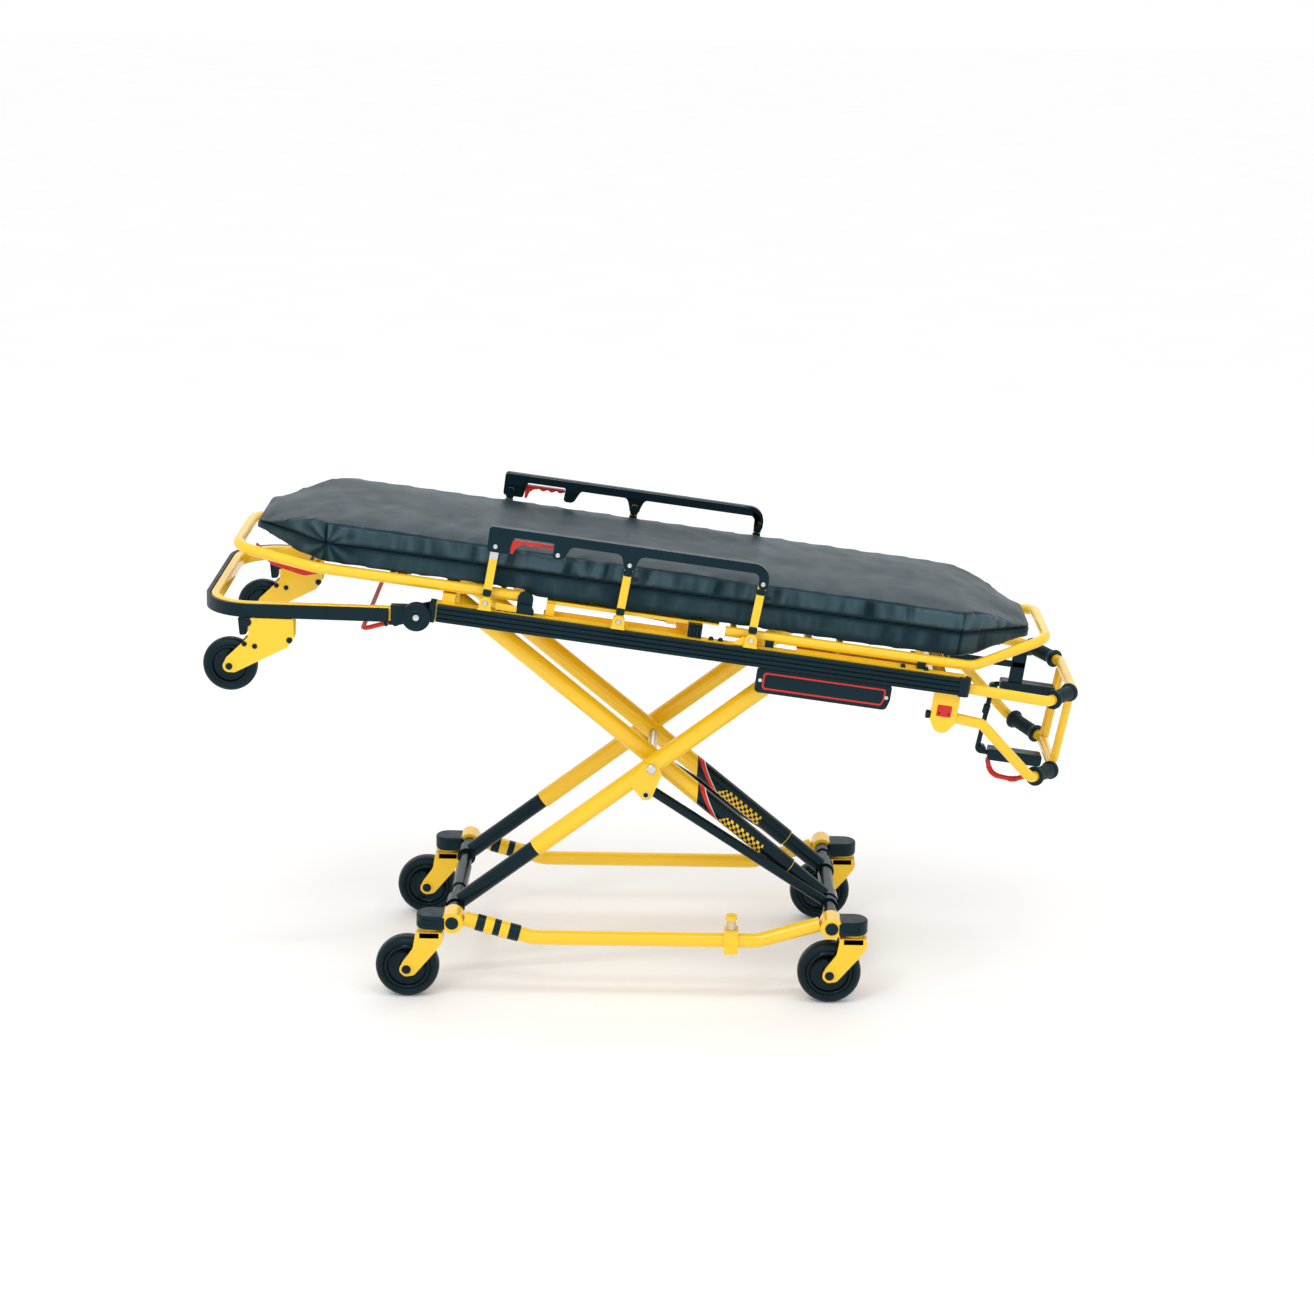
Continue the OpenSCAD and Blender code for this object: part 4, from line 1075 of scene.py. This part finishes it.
def make_name_plate():
    """Blank plate on the near rail, with a raised border and two screws."""
    plate, frame_line = Shape(LITTER), Shape(LITTER)
    outline = [(266, -84, 10), (574, -84, 12), (581, -60, 10), (581, -23, 8), (266, -23, 10)]
    plate.prism(rounded(outline), -262, -248)
    plate.piece("plate_blank", "black_plastic", "litter", 3, 4, replaces=("name_plate",))
    outer = rounded([(282, -74, 8), (562, -74, 9), (568, -56, 8), (568, -33, 6), (282, -33, 8)])
    inner = rounded([(286, -70, 6), (560, -70, 7), (564, -56, 6), (564, -37, 4), (286, -37, 6)])
    rings = [[frame_line.vert((x, y, z)) for x, z in ring]
             for ring, y in ((outer, -261.8), (outer, -262.8), (inner, -262.8), (inner, -261.8))]
    frame_line.join(rings, closed=True)
    frame_line.piece("plate_border", "red_plastic", "litter")
    screws = Shape(LITTER)
    head = [(0, -261.5), (4.5, -261.5), (4.5, -263.4), (2, -263.8), (0, -263.4)]
    for u in (276, 571):
        screws.lathe(head, (u, 0, -53), Y, 24)
    screws.piece("plate_screws", "bright_steel", "litter")


CROSSING = (17.7, 0, 552.2)
LINK_PIN = (5, 0, 487)


def make_crossing_bolts():
    """Bolt heads where the legs cross, and the links' bolt heads below them."""
    bolts, low = Shape(ROW), Shape(ROW)
    head = [(0, 196), (11, 196), (11, 200), (8.5, 202), (3, 202.4), (2.4, 201.4), (0, 201.4)]
    link_head = [(0, 191), (7, 191), (7, 195), (5, 197), (0, 197.4)]
    for side, _ in SIDES:
        bolts.lathe([(r, side * h) for r, h in head], CROSSING, Y, 36)
        low.lathe([(r, side * h) for r, h in link_head], LINK_PIN, Y, 30)
    bolts.piece("crossing_bolts", "bright_steel", "short_leg_outer")
    low.piece("link_bolts", "black_paint", "short_leg_outer")


# ---- camera, light and floor ----

CAMERA_AT = (0.0857, -6.3756, 2.6787)


def make_camera():
    """Camera in front of the near side, looking slightly down."""
    yaw, pitch, roll, lens = -0.0094, 0.2909, 0.0121, 75.9
    ahead = Vector((sin(yaw) * cos(pitch), cos(yaw) * cos(pitch), -sin(pitch)))
    right = Vector((cos(yaw), -sin(yaw), 0))
    up = right.cross(ahead)
    across = cos(roll) * right + sin(roll) * up
    over = -sin(roll) * right + cos(roll) * up
    data = bpy.data.cameras.new("camera")
    data.lens = lens
    data.sensor_width = 36
    data.clip_end = 60
    camera = bpy.data.objects.new("camera", data)
    turn = Matrix((across, over, -ahead)).transposed()
    camera.matrix_world = Matrix.Translation(CAMERA_AT) @ turn.to_4x4()
    bpy.context.scene.collection.objects.link(camera)
    bpy.context.scene.camera = camera


def area_light(name, at, to, size, power, size_y=None):
    data = bpy.data.lights.new(name, "AREA")
    data.shape = "RECTANGLE"
    data.size = size
    data.size_y = size_y or size
    data.energy = power
    light = bpy.data.objects.new(name, data)
    light.location = at
    light.rotation_mode = "QUATERNION"
    light.rotation_quaternion = (Vector(to) - Vector(at)).to_track_quat("-Z", "Y")
    bpy.context.scene.collection.objects.link(light)


def make_studio():
    """White surroundings, three soft lights and a pale floor."""
    bpy.context.scene.view_settings.view_transform = "Standard"
    world = bpy.data.worlds.new("studio")
    world.use_nodes = True
    sky = world.node_tree.nodes["Background"]
    sky.inputs["Color"].default_value = (1, 1, 1, 1)
    sky.inputs["Strength"].default_value = 1.0
    bpy.context.scene.world = world
    area_light("key", (-1.6, -3.2, 4.2), (0, 0, 0.6), 0.9, 30)
    area_light("strip", (0.3, -1.4, 4.4), (0, 0, 0.6), 4.0, 26, 0.12)
    area_light("back", (0.4, 4.5, 3.0), (0, 0, 0.8), 4.0, 10, 2.0)
    bm = bmesh.new()
    bmesh.ops.create_grid(bm, x_segments=1, y_segments=1, size=30)
    mesh = bpy.data.meshes.new("floor")
    bm.to_mesh(mesh)
    bm.free()
    paper = Material("floor_paper", (0.99, 0.99, 0.99), 0.9).vary(2, 0.01, 0.02)
    mesh.materials.append(paper.material)
    floor = bpy.data.objects.new("floor", mesh)
    bpy.context.scene.collection.objects.link(floor)


make_camera()
make_studio()
dress_nodes()
make_mattress()
for end, end_name in ENDS:
    for side, side_name in SIDES:
        tag = f"{side_name}_{end_name}"
        make_wheel(tag)
        make_castor(tag)
        make_bumper(tag, end, side)
make_base()
make_leg_bands()
make_crossing_bolts()
for side, side_name in SIDES:
    make_siderail(side, side_name)
make_rail_details()
make_backrest()
make_head_section()
make_foot_frame()
make_lift_bars()
make_releases()
make_name_plate()
